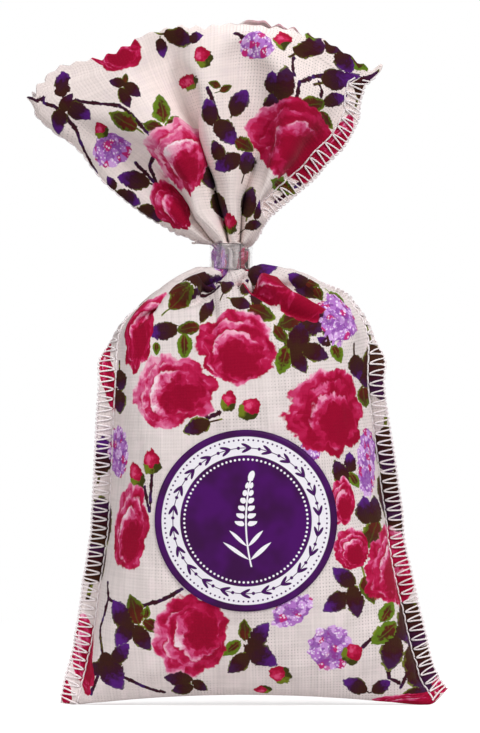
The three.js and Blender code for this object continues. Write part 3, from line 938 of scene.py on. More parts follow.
    def seat_label(self) -> None:
        """Lay the cloth flat against the back of the label."""
        points = self.grid.points
        x, z = points[..., 0], points[..., 2] - self.label_height
        near = 1 - ease(np.hypot(x, z), self.label_radius, self.label_radius + 3)
        near = near * (self.grid.along > 0) * (points[..., 1] < 0)
        points[..., 1] += near * (self.label_face(x, z) - points[..., 1])

    def pink_edges(self) -> None:
        """Cut the frill's edge into small teeth."""
        grid = self.grid
        left = self.cut.length - np.abs(grid.along)
        tooth = np.abs((grid.across / self.pinking_pitch) % 1.0 - 0.5) * 2
        worn = 0.75 + 0.35 * np.sin(0.31 * grid.across + 1.0) + 0.25 * np.sin(0.83 * grid.across)
        depth = self.pinking_depth * tooth * worn * (1 - ease(left, 0, 4))
        sign = np.sign(grid.along)
        grid.points[...] = grid.sample(grid.points, grid.across, grid.along - sign * depth)


@dataclass(frozen=True)
class Motif:
    """A motif's place on the front view, its half length and half width, its turn and its tone."""

    x: float
    y: float
    half_length: float
    half_width: float
    turn: float = 0.0
    tone: float = 0.0


@dataclass
class Artwork:
    """The print: where the roses, leaves, buds, lilac and each stem lie, with dark lines painted as the shade
    of the creases below the tape.

    Places are read off a front view of the sachet, in steps of one unit, from its top left corner.
    """

    bag: SewnBag
    unit: float = 0.224
    origin: tuple[float, float] = (246.0, 703.0)
    eye: tuple[float, float, float] = (-1.3, -900.0, 75.5)
    leaf_size: float = 1.16
    leaf_width: float = 0.6
    far_off: float = 9.0
    look_around: float = 1.5
    gather_reach: float = 8.0
    gathered_slope: float = 0.12
    least_slope: float = 0.4
    longest_run: float = 14.0
    roses: Table = (
        (182, 158, 25, 40, 15, 0.9), (173, 208, 15, 30, 36, 0.25), (117, 53, 28, 19, 0, 0.5),
        (291, 142, 40, 41, 0, 0.15), (144, 327, 11, 43, -28, 0.3), (236, 346, 41, 38, -25, 0.4),
        # The roses at (269, 282) and (295, 308) lie on the fold right of the neck; their low tones give the
        # print's dark crimson and also painted shade of the fold.
        (168, 390, 39, 38, 35, 0.85), (330, 410, 35, 45, 0, 0.2), (269, 282, 24, 9, -20, -0.15),
        (295, 308, 26, 10, -28, 0), (130, 526, 17, 46, -5, 0.6), (342, 500, 13, 25, 0, 0.4),
        (352, 547, 18, 22, 0, 0.5), (387, 563, 17, 40, 0, 0.45), (191, 635, 42, 38, 80, 0.55),
        (84, 650, 11, 44, 8, 0.5), (108, 374, 7, 38, 10, 0.05), (400, 580, 9, 26, -5, 0.3),
        (340, 136, 8, 26, -35, 0.3), (242, 262, 5, 15, 0, 0.3), (408, 699, 34, 7, 5, 0.1),
        (440, 682, 9, 10, 0, 0.6), (65, 688, 7, 14, 15, 0.2), (226, 500, 37, 35, -20, 0.6),
        (279, 556, 26, 24, 35, 0.3))
    lilacs: Table = (
        (112, 149, 20, 18, 0), (257, 46, 17, 15, 0), (338, 319, 25, 14, -40), (119, 452, 26, 9, 90),
        (367, 460, 36, 9, 90), (310, 450, 12, 9, -50), (292, 610, 23, 14, 30), (331, 647, 23, 23, 0),
        (217, 258, 13, 11, 90), (288, 487, 19, 14, 35), (205, 572, 17, 13, -20))
    buds: Table = (
        (203, 57, 11, 9, 115), (190, 82, 9, 8, 150), (282, 41, 9, 8, 80), (230, 224, 11, 7, 95),
        (229, 400, 11, 8, 75), (250, 408, 13, 10, 55), (152, 461, 13, 9, 95), (137, 474, 14, 7, 105),
        (280, 673, 12, 9, 160), (102, 130, 8, 7, 120), (352, 652, 11, 10, 40), (263, 688, 9, 4, 180),
        (243, 573, 12, 8, 110), (306, 522, 11, 8, 30))
    # Place, half length and turn of each leaf, from the purple ones to the maroon, olive and green ones
    leaves: tuple[Table, ...] = (
        ((63, 84, 12, 85), (80, 112, 13, -32), (60, 121, 12, -100), (134, 180, 15, 170), (112, 183, 7, 120),
         (129, 198, 12, -28), (162, 48, 9, -80), (195, 38, 8, 20), (272, 83, 11, 90), (344, 61, 14, -60),
         (338, 80, 16, 10), (334, 100, 11, 20), (322, 156, 10, 35), (259, 211, 10, 70), (239, 103, 14, 60),
         (210, 112, 13, 100), (227, 133, 15, -48), (228, 163, 14, -155), (247, 162, 12, 80),
         (207, 283, 16, 28), (163, 331, 14, 190), (256, 296, 9, 110), (259, 270, 14, 10),
         (299, 280, 11, 155), (299, 298, 9, 30), (324, 341, 7, 150), (358, 368, 13, -70), (350, 462, 10, 95),
         (365, 509, 13, 95), (122, 613, 15, 120), (125, 632, 14, -120), (121, 652, 12, 50),
         (112, 670, 19, -62), (96, 668, 10, 210), (259, 634, 14, 50), (261, 654, 17, -30),
         (336, 601, 14, -145), (344, 576, 13, 140), (404, 633, 11, -40), (355, 684, 12, 155),
         (381, 685, 10, 30), (102, 455, 18, 85), (228, 283, 9, 60), (208, 275, 12, 18), (252, 462, 13, 60),
         (181, 528, 14, -100), (231, 548, 12, -70)),
        ((67, 103, 10, 60), (118, 83, 8, 170), (133, 90, 10, -40), (126, 98, 10, -65), (152, 214, 13, -25),
         (180, 38, 14, -15), (283, 86, 18, 75), (272, 106, 13, 85), (310, 48, 15, 25), (333, 48, 10, -20),
         (218, 152, 11, 110), (209, 178, 11, -70), (221, 208, 15, -62), (249, 203, 14, 82),
         (254, 225, 8, 20), (121, 380, 10, -85), (119, 400, 12, -80), (192, 275, 11, 20), (207, 310, 10, 60),
         (197, 426, 13, 200), (241, 303, 10, -20), (307, 291, 12, 170), (312, 323, 14, -25),
         (299, 337, 18, 70), (299, 360, 13, -60), (315, 352, 14, -20), (329, 334, 9, 120),
         (365, 376, 12, -80), (341, 472, 13, 120), (374, 509, 13, 90), (142, 636, 14, -55),
         (179, 677, 13, 175), (183, 687, 10, 190), (200, 684, 8, -30), (239, 662, 13, -140),
         (355, 600, 15, -80), (392, 650, 18, -100), (417, 676, 13, -60), (417, 692, 12, 20),
         (377, 372, 26, -82), (387, 450, 22, -85), (393, 495, 26, -85), (397, 540, 22, -84),
         (411, 625, 24, -75), (420, 665, 26, -70), (99, 522, 24, 83), (95, 560, 20, 83), (365, 85, 14, 50),
         (251, 256, 10, 85), (247, 289, 8, -40), (271, 520, 14, 40), (309, 543, 12, 70)),
        ((126, 79, 5, 85), (154, 127, 10, 165), (124, 121, 14, 150), (158, 203, 9, -80), (313, 105, 13, 5),
         (325, 120, 9, -55), (215, 85, 6, 160), (226, 89, 6, 25), (244, 145, 11, -30), (181, 298, 15, 45),
         (179, 288, 11, 20), (188, 328, 11, 190), (261, 312, 14, -25), (312, 284, 7, -20),
         (318, 293, 8, -60), (290, 321, 12, 195), (281, 334, 10, -55), (364, 396, 10, -80),
         (372, 533, 14, -110), (135, 608, 14, 105), (153, 625, 10, -35), (245, 629, 10, 95),
         (369, 589, 13, -70), (246, 556, 11, 120), (190, 548, 12, -50), (262, 478, 11, 10)),
        ((162, 108, 13, 100), (173, 122, 8, 40), (311, 35, 8, -50), (359, 62, 11, -50), (279, 184, 11, 150),
         (185, 346, 12, -90), (157, 348, 6, -90), (337, 298, 9, -35), (284, 359, 14, -105),
         (337, 353, 9, -65), (354, 479, 8, -60), (147, 611, 6, 80), (232, 647, 10, -140), (387, 610, 11, 60),
         (385, 632, 15, -140), (258, 540, 11, -160)))
    stems_and_shade_lines: tuple[Table, ...] = (
        ((27, 95), (55, 106), (68, 119), (84, 152), (97, 174)),
        ((68, 106), (77, 100), (102, 103), (120, 105), (134, 117), (149, 136), (154, 150), (150, 166),
         (157, 184)),
        ((137, 164), (157, 184), (170, 205)), ((207, 88), (216, 108), (222, 128)),
        ((295, 103), (301, 82), (326, 75)), ((295, 58), (296, 74)), ((320, 82), (322, 97)),
        ((275, 202), (311, 175)), ((235, 32), (248, 42)), ((201, 411), (208, 416), (221, 411)),
        ((144, 487), (148, 511)), ((152, 474), (149, 511)), ((105, 580), (105, 597), (118, 604)),
        ((105, 597), (98, 624), (102, 657), (98, 675), (91, 692)), ((142, 605), (162, 599), (181, 588)),
        ((112, 660), (102, 657)), ((120, 673), (150, 688), (165, 693)), ((363, 646), (374, 636), (386, 622)),
        ((388, 661), (390, 678), (400, 682)), ((410, 668), (400, 687)), ((404, 610), (412, 640), (420, 680)),
        ((281, 334), (290, 350), (299, 345)),
        # The last four lines follow the creases below the tape: dark lines painted there as the creases'
        # shade.
        ((248, 281), (256, 288), (268, 296), (288, 304), (305, 311), (318, 317)),
        ((250, 279), (262, 289), (280, 299)), ((222, 280), (211, 290), (199, 296), (184, 302)),
        ((216, 284), (203, 292), (190, 297)))

    def __post_init__(self) -> None:
        """Lay the front view's motifs on the cloth, and turn them round for the back."""
        self.front_view = self.seen_from_front()
        self.layers: dict[Kind, tuple[Array, Array, Array]] = {}
        tables = {Kind.ROSE: self.roses, Kind.LILAC: self.lilacs, Kind.BUD: self.buds}
        for kind, rows in tables.items():
            self.layers[kind] = self.laid([Motif(*row) for row in rows])
        leaves = []
        for tone, rows in enumerate(self.leaves):
            for x, y, half, turn in rows:
                long = half * self.leaf_size
                leaves.append(Motif(x, y, long, long * self.leaf_width, turn, tone))
        self.layers[Kind.LEAF] = self.laid(leaves)
        self.stem_and_shade_lines = self.laid_stems_and_shade_lines()

    def seen_from_front(self) -> tuple[Array, Array, Array]:
        """Project the front panel to the view that the motifs are read from.

        Returns:
            For each point of the front panel its place in the view, its depth, and its cloth place.
        """
        grid = self.bag.grid
        rows = grid.points[grid.base:]
        eye = np.array(self.eye)
        near = -eye[1] / (rows[..., 1] - eye[1])
        x = eye[0] + (rows[..., 0] - eye[0]) * near
        z = eye[2] + (rows[..., 2] - eye[2]) * near
        view = np.stack([x / self.unit + self.origin[0], self.origin[1] - z / self.unit], -1)
        cloth = np.stack([grid.across[grid.base:], grid.along[grid.base:]], -1)
        return view, rows[..., 1], cloth

    def find(self, x: float, y: float) -> tuple[int, int]:
        """Row and column of the cloth that shows at a place in the front view.

        Args:
            x: place across the view.
            y: place down the view.

        Returns:
            Row and column of the front panel.
        """
        view, depth, _ = self.front_view
        away = np.hypot(view[..., 0] - x, view[..., 1] - y)
        close = away < max(4.0, away.min() + 1.0)
        best = np.where(close, depth + 0.2 * away, np.inf)
        row, column = np.unravel_index(int(np.argmin(best)), best.shape)
        return int(row), int(column)

    def laid(self, motifs: Sequence[Motif]) -> tuple[Array, Array, Array]:
        """Lay motifs on the cloth so that they show in the front view as they are listed.

        Args:
            motifs: the motifs of one layer.

        Returns:
            Their middles, the turns from cloth to motif and their tones, for both panels.
        """
        middles, turns, tones = [], [], []
        for motif in motifs:
            angle = math.radians(motif.turn)
            ahead = np.array([math.cos(angle), -math.sin(angle)]) * motif.half_length
            beside = np.array([-math.sin(angle), -math.cos(angle)]) * motif.half_width
            spread = np.stack([ahead, beside], -1)
            slope, middle = self.fitted(motif, spread)
            axes = np.linalg.solve(slope, spread * self.unit)
            middles += [middle, -middle]
            turns += [np.linalg.inv(axes), -np.linalg.inv(axes)]
            tones += [motif.tone, motif.tone]
        return np.array(middles), np.array(turns), np.array(tones)

    def fitted(self, motif: Motif, spread: Array) -> tuple[Array, Array]:
        """Fit the view over the cloth that a motif covers with a flat map.

        Args:
            motif: the motif.
            spread: its two half axes in the view, as columns.

        Returns:
            The slope of the view over the cloth, and the cloth place of the motif's middle.
        """
        view, _, cloth = self.front_view
        row, column = self.find(motif.x, motif.y)
        cell = cloth[0, 1, 0] - cloth[0, 0, 0]
        reach = 4 + int(self.look_around * max(motif.half_length, motif.half_width) * self.unit / cell)
        window = (slice(max(row - reach, 0), row + reach), slice(max(column - reach, 0), column + reach))
        seen, flat = view[window], cloth[window]
        by_v, by_u = np.gradient(seen, axis=0), np.gradient(seen, axis=1)
        facing = by_u[..., 1] * by_v[..., 0] - by_u[..., 0] * by_v[..., 1]
        share = np.einsum("ij,rcj->rci", np.linalg.inv(spread), seen - np.array([motif.x, motif.y]))
        away = np.hypot(share[..., 0], share[..., 1])
        weight = np.clip(facing, 0, None) * (away < max(1.0, away.min() + 0.5)) + 1e-9
        weight = weight / weight.sum()
        seen_middle = np.einsum("rc,rci->i", weight, seen)
        flat_middle = np.einsum("rc,rci->i", weight, flat)
        off_seen, off_flat = seen - seen_middle, flat - flat_middle
        cross = np.einsum("rc,rci,rcj->ij", weight, off_seen, off_flat)
        spread_flat = np.einsum("rc,rci,rcj->ij", weight, off_flat, off_flat) + 1e-6 * np.eye(2)
        left, sizes, right = np.linalg.svd(cross @ np.linalg.inv(spread_flat) * self.unit)
        gathered = abs(flat_middle[1] - self.bag.cut.tape_top) < self.gather_reach
        least = self.gathered_slope if gathered else self.least_slope
        slope = left @ np.diag(np.maximum(sizes, least)) @ right
        offset = (np.array([motif.x, motif.y]) - seen_middle) * self.unit
        return slope, flat_middle + np.linalg.solve(slope, offset)

    def laid_stems_and_shade_lines(self) -> Array:
        """Lay each stem, and each dark line painted as the shade of a crease, on the cloth of both panels.

        Returns:
            The start and end of each straight run.
        """
        cloth = self.front_view[2]
        runs = []
        for line in self.stems_and_shade_lines:
            places = [cloth[self.find(x, y)] for x, y in line]
            for a, b in zip(places, places[1:]):
                if np.hypot(*(b - a)) < self.longest_run:
                    runs += [(a, b), (-a, -b)]
        return np.array(runs)

    def layer(self, kind: Kind, faces: Array, corners: Array) -> Array:
        """Coordinates of one layer's motifs at face corners.

        Args:
            kind: the layer.
            faces: cloth place of each face.
            corners: cloth places of each face's corners.

        Returns:
            For each corner, place along and across its face's nearest motif, and the motif's tone.
        """
        middles, turns, tones = self.layers[kind]
        out = np.empty(corners.shape[:2] + (3,))
        for part in batches(len(faces)):
            away = faces[part, None, :] - middles[None]
            local = np.einsum("kij,fkj->fki", turns, away)
            nearest = np.argmin(np.einsum("fki,fki->fk", local, local), axis=1)
            offset = corners[part] - middles[nearest][:, None, :]
            place = np.einsum("fij,fcj->fci", turns[nearest], offset)
            out[part, :, :2] = np.clip(place, -self.far_off, self.far_off)
            out[part, :, 2] = tones[nearest][:, None]
        return out

    def stem_and_shade_layer(self, faces: Array, corners: Array) -> Array:
        """Distances from the nearest line of the stem layer, which holds the stems and the painted crease
        shade, at face corners.

        Args:
            faces: cloth place of each face.
            corners: cloth places of each face's corners.

        Returns:
            For each corner, the distance across the stem, the place along it and how far past its ends.
        """
        start, end = self.stem_and_shade_lines[:, 0], self.stem_and_shade_lines[:, 1]
        run = end - start
        long = np.hypot(run[:, 0], run[:, 1])
        ahead = run / long[:, None]
        beside = np.stack([-ahead[:, 1], ahead[:, 0]], -1)
        out = np.empty(corners.shape[:2] + (3,))
        for part in batches(len(faces)):
            away = faces[part, None, :] - start[None]
            along = np.einsum("fki,ki->fk", away, ahead)
            across = np.einsum("fki,ki->fk", away, beside)
            past = np.maximum(np.maximum(-along, along - long), 0)
            nearest = np.argmin(np.hypot(across, past), axis=1)
            offset = corners[part] - start[nearest][:, None, :]
            along = np.einsum("fci,fi->fc", offset, ahead[nearest])
            out[part, :, 0] = np.einsum("fci,fi->fc", offset, beside[nearest])
            out[part, :, 1] = along
            out[part, :, 2] = np.maximum(np.maximum(-along, along - long[nearest][:, None]), 0)
        return np.clip(out, -self.far_off, self.far_off)


def add_node(tree: Nodes, kind: str, inputs: dict, **settings: str) -> bpy.types.Node:
    """Add a node to a material.

    Args:
        tree: the material's nodes.
        kind: the node's type.
        inputs: what its sockets are linked or set to, by their names or numbers.
        settings: its properties.

    Returns:
        The node.
    """
    node = tree.nodes.new(kind)
    for name, value in settings.items():
        setattr(node, name, value)
    for entry, value in inputs.items():
        if isinstance(value, Ink):
            tree.links.new(value.socket, node.inputs[entry])
        else:
            node.inputs[entry].default_value = linear(value) if isinstance(value, str) else value
    return node


class Ink:
    """A value in a material's nodes; arithmetic on it adds Math nodes."""

    def __init__(self, tree: Nodes, socket: bpy.types.NodeSocket) -> None:
        """Wrap an output socket."""
        self.tree = tree
        self.socket = socket

    def math(self, operation: str, *others: Number) -> "Ink":
        """Add a Math node, with this value before the others."""
        node = add_node(self.tree, "ShaderNodeMath", dict(enumerate((self, *others))), operation=operation)
        return Ink(self.tree, node.outputs[0])

    def __add__(self, other: Number) -> "Ink":
        """Sum."""
        return self.math("ADD", other)

    def __sub__(self, other: Number) -> "Ink":
        """Difference."""
        return self.math("SUBTRACT", other)

    def __mul__(self, other: Number) -> "Ink":
        """Product."""
        return self.math("MULTIPLY", other)

    def __truediv__(self, other: Number) -> "Ink":
        """Quotient."""
        return self.math("DIVIDE", other)

    def __or__(self, other: Number) -> "Ink":
        """Larger of the two."""
        return self.math("MAXIMUM", other)

    def __abs__(self) -> "Ink":
        """Size without sign."""
        return self.math("ABSOLUTE")

    def sin(self) -> "Ink":
        """Sine."""
        return self.math("SINE")

    def power(self, exponent: float) -> "Ink":
        """Power of the size without sign."""
        return abs(self).math("POWER", exponent)

    def wrap(self) -> "Ink":
        """Part after the decimal point."""
        return self.math("FRACT")

    def hypot(self, other: "Ink") -> "Ink":
        """Length of two sides at a right angle."""
        return (self * self + other * other).math("SQRT")

    def step(self, low: float, high: float) -> "Ink":
        """Smooth step to 1 at high, from 0 at low; it falls where low is above high."""
        node = add_node(self.tree, "ShaderNodeMapRange", {"Value": self, "From Min": low, "From Max": high},
                        interpolation_type="SMOOTHSTEP")
        return Ink(self.tree, node.outputs[0])


class Palette:
    """A material and short calls that add its nodes."""

    def __init__(self, name: str, **sockets: Union[float, tuple]) -> None:
        """Start a material with a Principled shader.

        Args:
            name: of the material.
            sockets: what is the same all over, with underscores for the spaces in a socket's name.
        """
        self.material = bpy.data.materials.new(name)
        self.material.use_nodes = True
        self.tree = self.material.node_tree
        self.shader = self.tree.nodes["Principled BSDF"]
        for socket, value in sockets.items():
            self.shader.inputs[socket.replace("_", " ")].default_value = value

    def link(self, value: Ink, name: str) -> None:
        """Link a value to one of the shader's sockets."""
        self.tree.links.new(value.socket, self.shader.inputs[name])

    def ink(self, kind: str, inputs: dict, out: Union[int, str] = 0, **settings: str) -> Ink:
        """Add a node and take one of its outputs, by name or number."""
        return Ink(self.tree, add_node(self.tree, kind, inputs, **settings).outputs[out])

    def attribute(self, name: str) -> Ink:
        """Vector attribute of the mesh."""
        return self.ink("ShaderNodeAttribute", {}, "Vector", attribute_name=name)

    def object_place(self) -> Ink:
        """Object coordinates, in metres."""
        return self.ink("ShaderNodeTexCoord", {}, "Object")

    def parts(self, vector: Ink) -> tuple[Ink, ...]:
        """The three parts of a vector."""
        node = add_node(self.tree, "ShaderNodeSeparateXYZ", {0: vector})
        return tuple(Ink(self.tree, out) for out in node.outputs)

    def vector(self, *values: Number) -> Ink:
        """A vector of three values."""
        return self.ink("ShaderNodeCombineXYZ", dict(enumerate(values)))

    def noise(self, place: Ink, scale: float = 1.0, detail: float = 2.0) -> Ink:
        """Noise from 0 to 1, about 0.5 on average, by its features per unit and its octaves."""
        return self.ink("ShaderNodeTexNoise", {"Vector": place, "Scale": scale, "Detail": detail})

    def cells(self, place: Ink, scale: float) -> tuple[Ink, Ink]:
        """Scattered cells, so many per unit: distance from the cell's middle, and its own random number."""
        node = add_node(self.tree, "ShaderNodeTexVoronoi", {"Vector": place, "Scale": scale})
        return Ink(self.tree, node.outputs["Distance"]), self.parts(Ink(self.tree, node.outputs["Color"]))[0]

    def mix(self, share: Number, low: Colour, high: Colour) -> Ink:
        """Mix two colours, by the share of the second."""
        return self.ink("ShaderNodeMix", {0: share, 6: low, 7: high}, 2, data_type="RGBA")

    def levels(self, value: Ink, *stops: tuple[float, str]) -> Ink:
        """Colour by value, between stops.

        Args:
            value: what picks the colour.
            stops: each a value and a colour, in rising order.

        Returns:
            The colour.
        """
        node = add_node(self.tree, "ShaderNodeValToRGB", {0: value})
        for _ in stops[2:]:
            node.color_ramp.elements.new(0.5)
        for element, (place, colour) in zip(node.color_ramp.elements, stops):
            element.position = place
            element.color = linear(colour)
        return Ink(self.tree, node.outputs[0])

    def bump(self, height: Ink, depth: float, strength: float) -> None:
        """Raise the surface by a height from 0 to 1, whose full depth is in metres."""
        inputs = {"Strength": strength, "Distance": depth, "Height": height}
        self.link(self.ink("ShaderNodeBump", inputs, "Normal"), "Normal")


@dataclass(frozen=True)
class PrintedCotton:
    """Off-white plain weave with a rose, leaf, bud and lilac print."""

    name: str = "printed_cotton"
    ground: str = "E8DCDA"
    shade: str = "D7CCCA"
    warm: str = "EADADB"
    # Colour of the pores between the threads: painted shade.
    pore_shade: str = "847B78"
    thread_pitch: float = 0.7
    show: float = 1.0
    # Place and half width of each ring of a rose's petals, half their count, side light, brush, lightness
    petals: Table = (
        (0, 0, 1, 3.5, 0.12, 1.3, 0.06), (0.03, -0.07, 0.8, 2.5, 0.14, 1.3, 0.03),
        (0.08, -0.15, 0.62, 2, 0.32, 1.1, 0.1), (0.13, -0.27, 0.47, 1.5, 0.1, 1, -0.18))

    def make(self) -> Material:
        """Build the material.

        Returns:
            The material.
        """
        run = PrintRun(self)
        for print_layer in (run.stem, run.leaf, run.lilac, run.bud, run.rose):
            print_layer()
        if self.show < 1:
            run.colour = run.p.mix(self.show, self.ground, run.colour)
        run.p.link(run.colour, "Base Color")
        return run.p.material


class PrintRun:
    """The cotton's material while its layers are printed, one over the other."""

    def __init__(self, cotton: PrintedCotton) -> None:
        """Weave the cotton that the print goes on.

        Args:
            cotton: its colours and sizes.
        """
        self.cotton = cotton
        self.p = Palette(cotton.name, Roughness=0.9, Sheen_Weight=0.03, Specular_IOR_Level=0.08)
        self.cloth = self.p.attribute("cloth_place")
        self.u, self.v, _ = self.p.parts(self.cloth)
        self.rough = self.p.noise(self.cloth, 0.85, 3.0) - 0.5
        self.broad = self.p.noise(self.cloth, 0.3) - 0.5
        self.colour = self.plain()
        # The pores between the threads are darkened with painted shade.
        self.over(self.weave(), cotton.pore_shade)

    def over(self, share: Ink, colour: Colour) -> None:
        """Lay a colour over what is there."""
        self.colour = self.p.mix(share, self.colour, colour)

    def weave(self) -> Ink:
        """Raise the threads of the weave.

        Returns:
            How open the pores between them are.
        """
        p, u, v = self.p, self.u, self.v
        turn = math.pi / self.cotton.thread_pitch
        warp = abs((u * turn + p.noise(p.vector(u * 0.9, v * 0.08, 0.0)) * 2.0).sin())
        weft = abs((v * turn + p.noise(p.vector(u * 0.06, v * 0.9, 3.0)) * 2.0).sin())
        p.bump(warp * 0.5 + weft * 0.5, 0.00012, 0.5)
        patch = (p.noise(self.cloth, 0.07) + u * 0.004).step(0.42, 0.62)
        return (warp + weft * 0.85).step(0.85, 0.25) * (patch * 0.6 + 0.12)

    def plain(self) -> Ink:
        """Unprinted cotton, with uneven threads.

        Returns:
            The colour.
        """
        p, u, v = self.p, self.u, self.v
        streak = p.noise(p.vector(u * 1.6, v * 0.05, 0.0), 1.0, 3.0) * 0.6
        streak = streak + p.noise(p.vector(u * 0.05, v * 1.4, 5.0)) * 0.4
        base = p.mix(streak.step(0.3, 0.7), self.cotton.shade, self.cotton.ground)
        return p.mix((self.broad + 0.5).step(0.5, 0.7) * 0.5, base, self.cotton.warm)

    def stem(self) -> None:
        """Print each stem, and the dark lines along the creases below the tape that are painted shade."""
        p = self.p
        across, along, past = p.parts(p.attribute("print_stem_and_shade"))
        knot = p.noise(p.vector(along * 0.6, past, 0.0)).step(0.58, 0.68) * 0.25
        edge = across.hypot(past) - knot - self.rough * 0.9
        patch = p.noise(p.vector(along * 0.25, 0.0, 4.0), 1.0, 1.0).step(0.45, 0.6)
        self.over(edge.step(0.48, 0.36), p.mix(patch, "36141F", "43216A"))

    def leaf(self) -> None:
        """Print the leaves, from purple through dark maroon and olive to green."""
        p, rough, broad = self.p, self.rough, self.broad
        x, y, tone = p.parts(p.attribute(Kind.LEAF.value))
        rim = (x * x * -1.0 + 1.0 | 0.0).power(0.8) * (x * -0.2 + 1.0)
        teeth = (x * 3.3).wrap() * 0.08 + (abs(x) - 1.0 | 0.0) * 4.0
        inset = rim - abs(y) - teeth + rough * 0.5 + broad * 0.4
        stalk = abs(y + (x + 0.9) * 0.2).step(0.13, 0.07) * x.step(-1.8, -1.7) * x.step(-0.8, -0.9)
        blade = x + rough * 1.2 + broad * 0.8
        purple = p.levels(
            blade.step(-0.7, 0.8), (0.0, "3A1C16"), (0.55, "38122A"), (0.8, "481A5C"), (1.0, "551E78"))
        maroon = p.levels(blade.step(-0.6, 0.8), (0.0, "3C2014"), (0.5, "3A101B"), (1.0, "3F1A42"))
        heart = p.levels(blade.step(-0.6, 0.7), (0.0, "5A2016"), (0.5, "4C1C12"), (1.0, "48301A"))
        margin = inset + rough * 0.9 + blade * -0.12
        vein = abs(y + rough * 0.25).step(0.08, 0.03) * x.step(0.8, 0.5) * 0.5
        olive = p.mix(margin.step(0.4, 0.2) | vein, heart, "4F5C18")
        green = p.mix(margin.step(0.66, 0.36) | vein, heart, "5C761C")
        colour = p.mix(tone.step(0.4, 0.6), purple, maroon)
        colour = p.mix(tone.step(1.4, 1.6), colour, olive)
        colour = p.mix(tone.step(2.4, 2.6), colour, green)
        light = inset.step(0.26, 0.1) * (rough + broad).step(-0.05, 0.15) * tone.step(-1.0, 1.5)
        colour = p.mix(light * 0.85, colour, "7E8A2A")
        self.over(inset.step(-0.02, 0.06) | stalk, colour)

    def bud(self) -> None:
        """Print the rose buds with their green cups."""
        p, rough = self.p, self.rough
        x, y, _ = p.parts(p.attribute(Kind.BUD.value))
        edge = x.hypot(y * (x * 0.25 + 1.0)) + rough * 0.7
        lit = (x - 0.15).hypot(y - 0.25) + rough * 1.8
        colour = p.levels(lit.step(0.0, 0.9), (0.0, "D9507C"), (0.35, "C4204E"), (1.0, "9E0A30"))
        cup = (x + abs(y) * -0.5 + rough * 0.9).step(-0.42, -0.52)
        sepal = p.mix((y + rough * 2.0).step(-0.3, 0.4), "3A3A12", "6E7A20")
        self.over(edge.step(1.0, 0.92), p.mix(cup, colour, sepal))

    def lilac(self) -> None:
        """Print the clusters of lilac florets."""
        p, rough = self.p, self.rough
        x, y, _ = p.parts(p.attribute(Kind.LILAC.value))
        middle, draw = p.cells(self.cloth, 0.62)
        edge = x.hypot(y) + rough * 0.35 + middle * 0.3
        petal, _ = p.cells(self.cloth, 1.5)
        tint = p.mix(draw.step(0.3, 0.7), "B274C4", "D4A6E0")
        tint = p.mix(draw.step(0.74, 0.78), tint, "BC2A74")
        tint = p.mix((petal + rough * 0.8).step(0.42, 0.24) * 0.8, tint, "F2E2F5")
        tint = p.mix((middle + rough * 1.2).step(0.52, 0.64) * 0.8, tint, "86449E")
        self.over(edge.step(1.14, 1.08), tint)

    def rose(self) -> None:
        """Print the roses: a dark bowl, ringed by painted petals with pale rims."""
        place = self.p.parts(self.p.attribute(Kind.ROSE.value))
        noise = self.rough * 0.14 + self.broad * 0.36
        for ring in self.cotton.petals:
            self.petals(ring, place, noise)

    def petals(self, ring: tuple[float, ...], place: tuple[Ink, ...], noise: Ink) -> None:
        """Paint one ring of a rose's petals, pale towards the rim and the upper left.

        Args:
            ring: its row of the table.
            place: place in the rose, and its tone.
            noise: unevenness of the outline.
        """
        p = self.p
        right, up, size, lobes, side, brush, light = ring
        x, y, tone = place
        x = (x - right) / size
        y = (y - up) / size
        turn = y.math("ARCTAN2", x)
        uneven = (turn + tone * 7.0).sin() * 1.4
        petal = abs((turn * lobes + uneven + tone * 20.0 + size * 9.0).sin())
        out = x.hypot(y) - petal * 0.12 + noise / size + 0.09
        ray = p.noise(p.vector(turn * 2.6, out * 0.7, tone * 5.0 + size * 7.0)) - 0.5
        arc = p.noise(p.vector(turn * 1.3, out * 4.5, tone * 3.0 + size * 5.0)) - 0.5
        strokes = (ray * out * out * 1.1 + arc * 0.8) * brush
        shade = out.power(3.0) * 0.4 + (y - x) * side + strokes + (tone - 0.45) * 0.35 + light
        colour = p.levels(
            shade, (0.0, "94062C"), (0.18, "9E0A34"), (0.26, "B01444"), (0.38, "B81E4E"), (0.45, "CC4678"),
            (0.56, "D6628E"), (0.64, "E597B4"), (0.8, "EDB2C6"), (0.92, "F6DCE5"))
        self.over(out.step(1.0, 1.0 - 0.05 / size), colour)


@dataclass(frozen=True)
class OverlockThread:
    """White spun thread, with the twist of its plies."""

    colour: str = "FBF5F5"
    shade: str = "E6D8DB"

    def make(self) -> Material:
        """Build the material.

        Returns:
            The material.
        """
        p = Palette("overlock_thread", Roughness=0.75, Sheen_Weight=0.2)
        twist = p.noise(p.object_place(), 4200.0)
        p.link(p.mix(twist.step(0.35, 0.65), self.shade, self.colour), "Base Color")
        p.bump(twist, 0.00008, 0.6)
        return p.material


@dataclass(frozen=True)
class ClearTape:
    """Clear glossy tape, faintly streaked, with painted shade as dark lines along its edges and at its end.
    """

    colour: str = "EEEAEC"
    # Dark colour of the tape's edges and end: painted shade.
    edge: str = "4A4046"
    clear: float = 0.06

    def make(self) -> Material:
        """Build the material.

        Returns:
            The material.
        """
        p = Palette("clear_tape", Roughness=0.15, Coat_Weight=0.2, Coat_Roughness=0.05, IOR=1.45)
        turn, rise, _ = p.parts(p.attribute("tape_place"))
        streak = p.noise(p.vector(turn * 12.0, rise * 9.0, 0.0), 1.0, 3.0)
        # The edges and the end are made dark and less clear: painted shade.
        edge = abs(rise - 0.5).step(0.465, 0.485) | turn.step(0.992, 0.996)
        p.link(p.mix(edge, self.colour, self.edge), "Base Color")
        p.link(edge * 0.5 + streak.step(0.5, 0.8) * 0.12 + self.clear, "Alpha")
        p.bump(streak, 0.0001, 0.5)
        return p.material


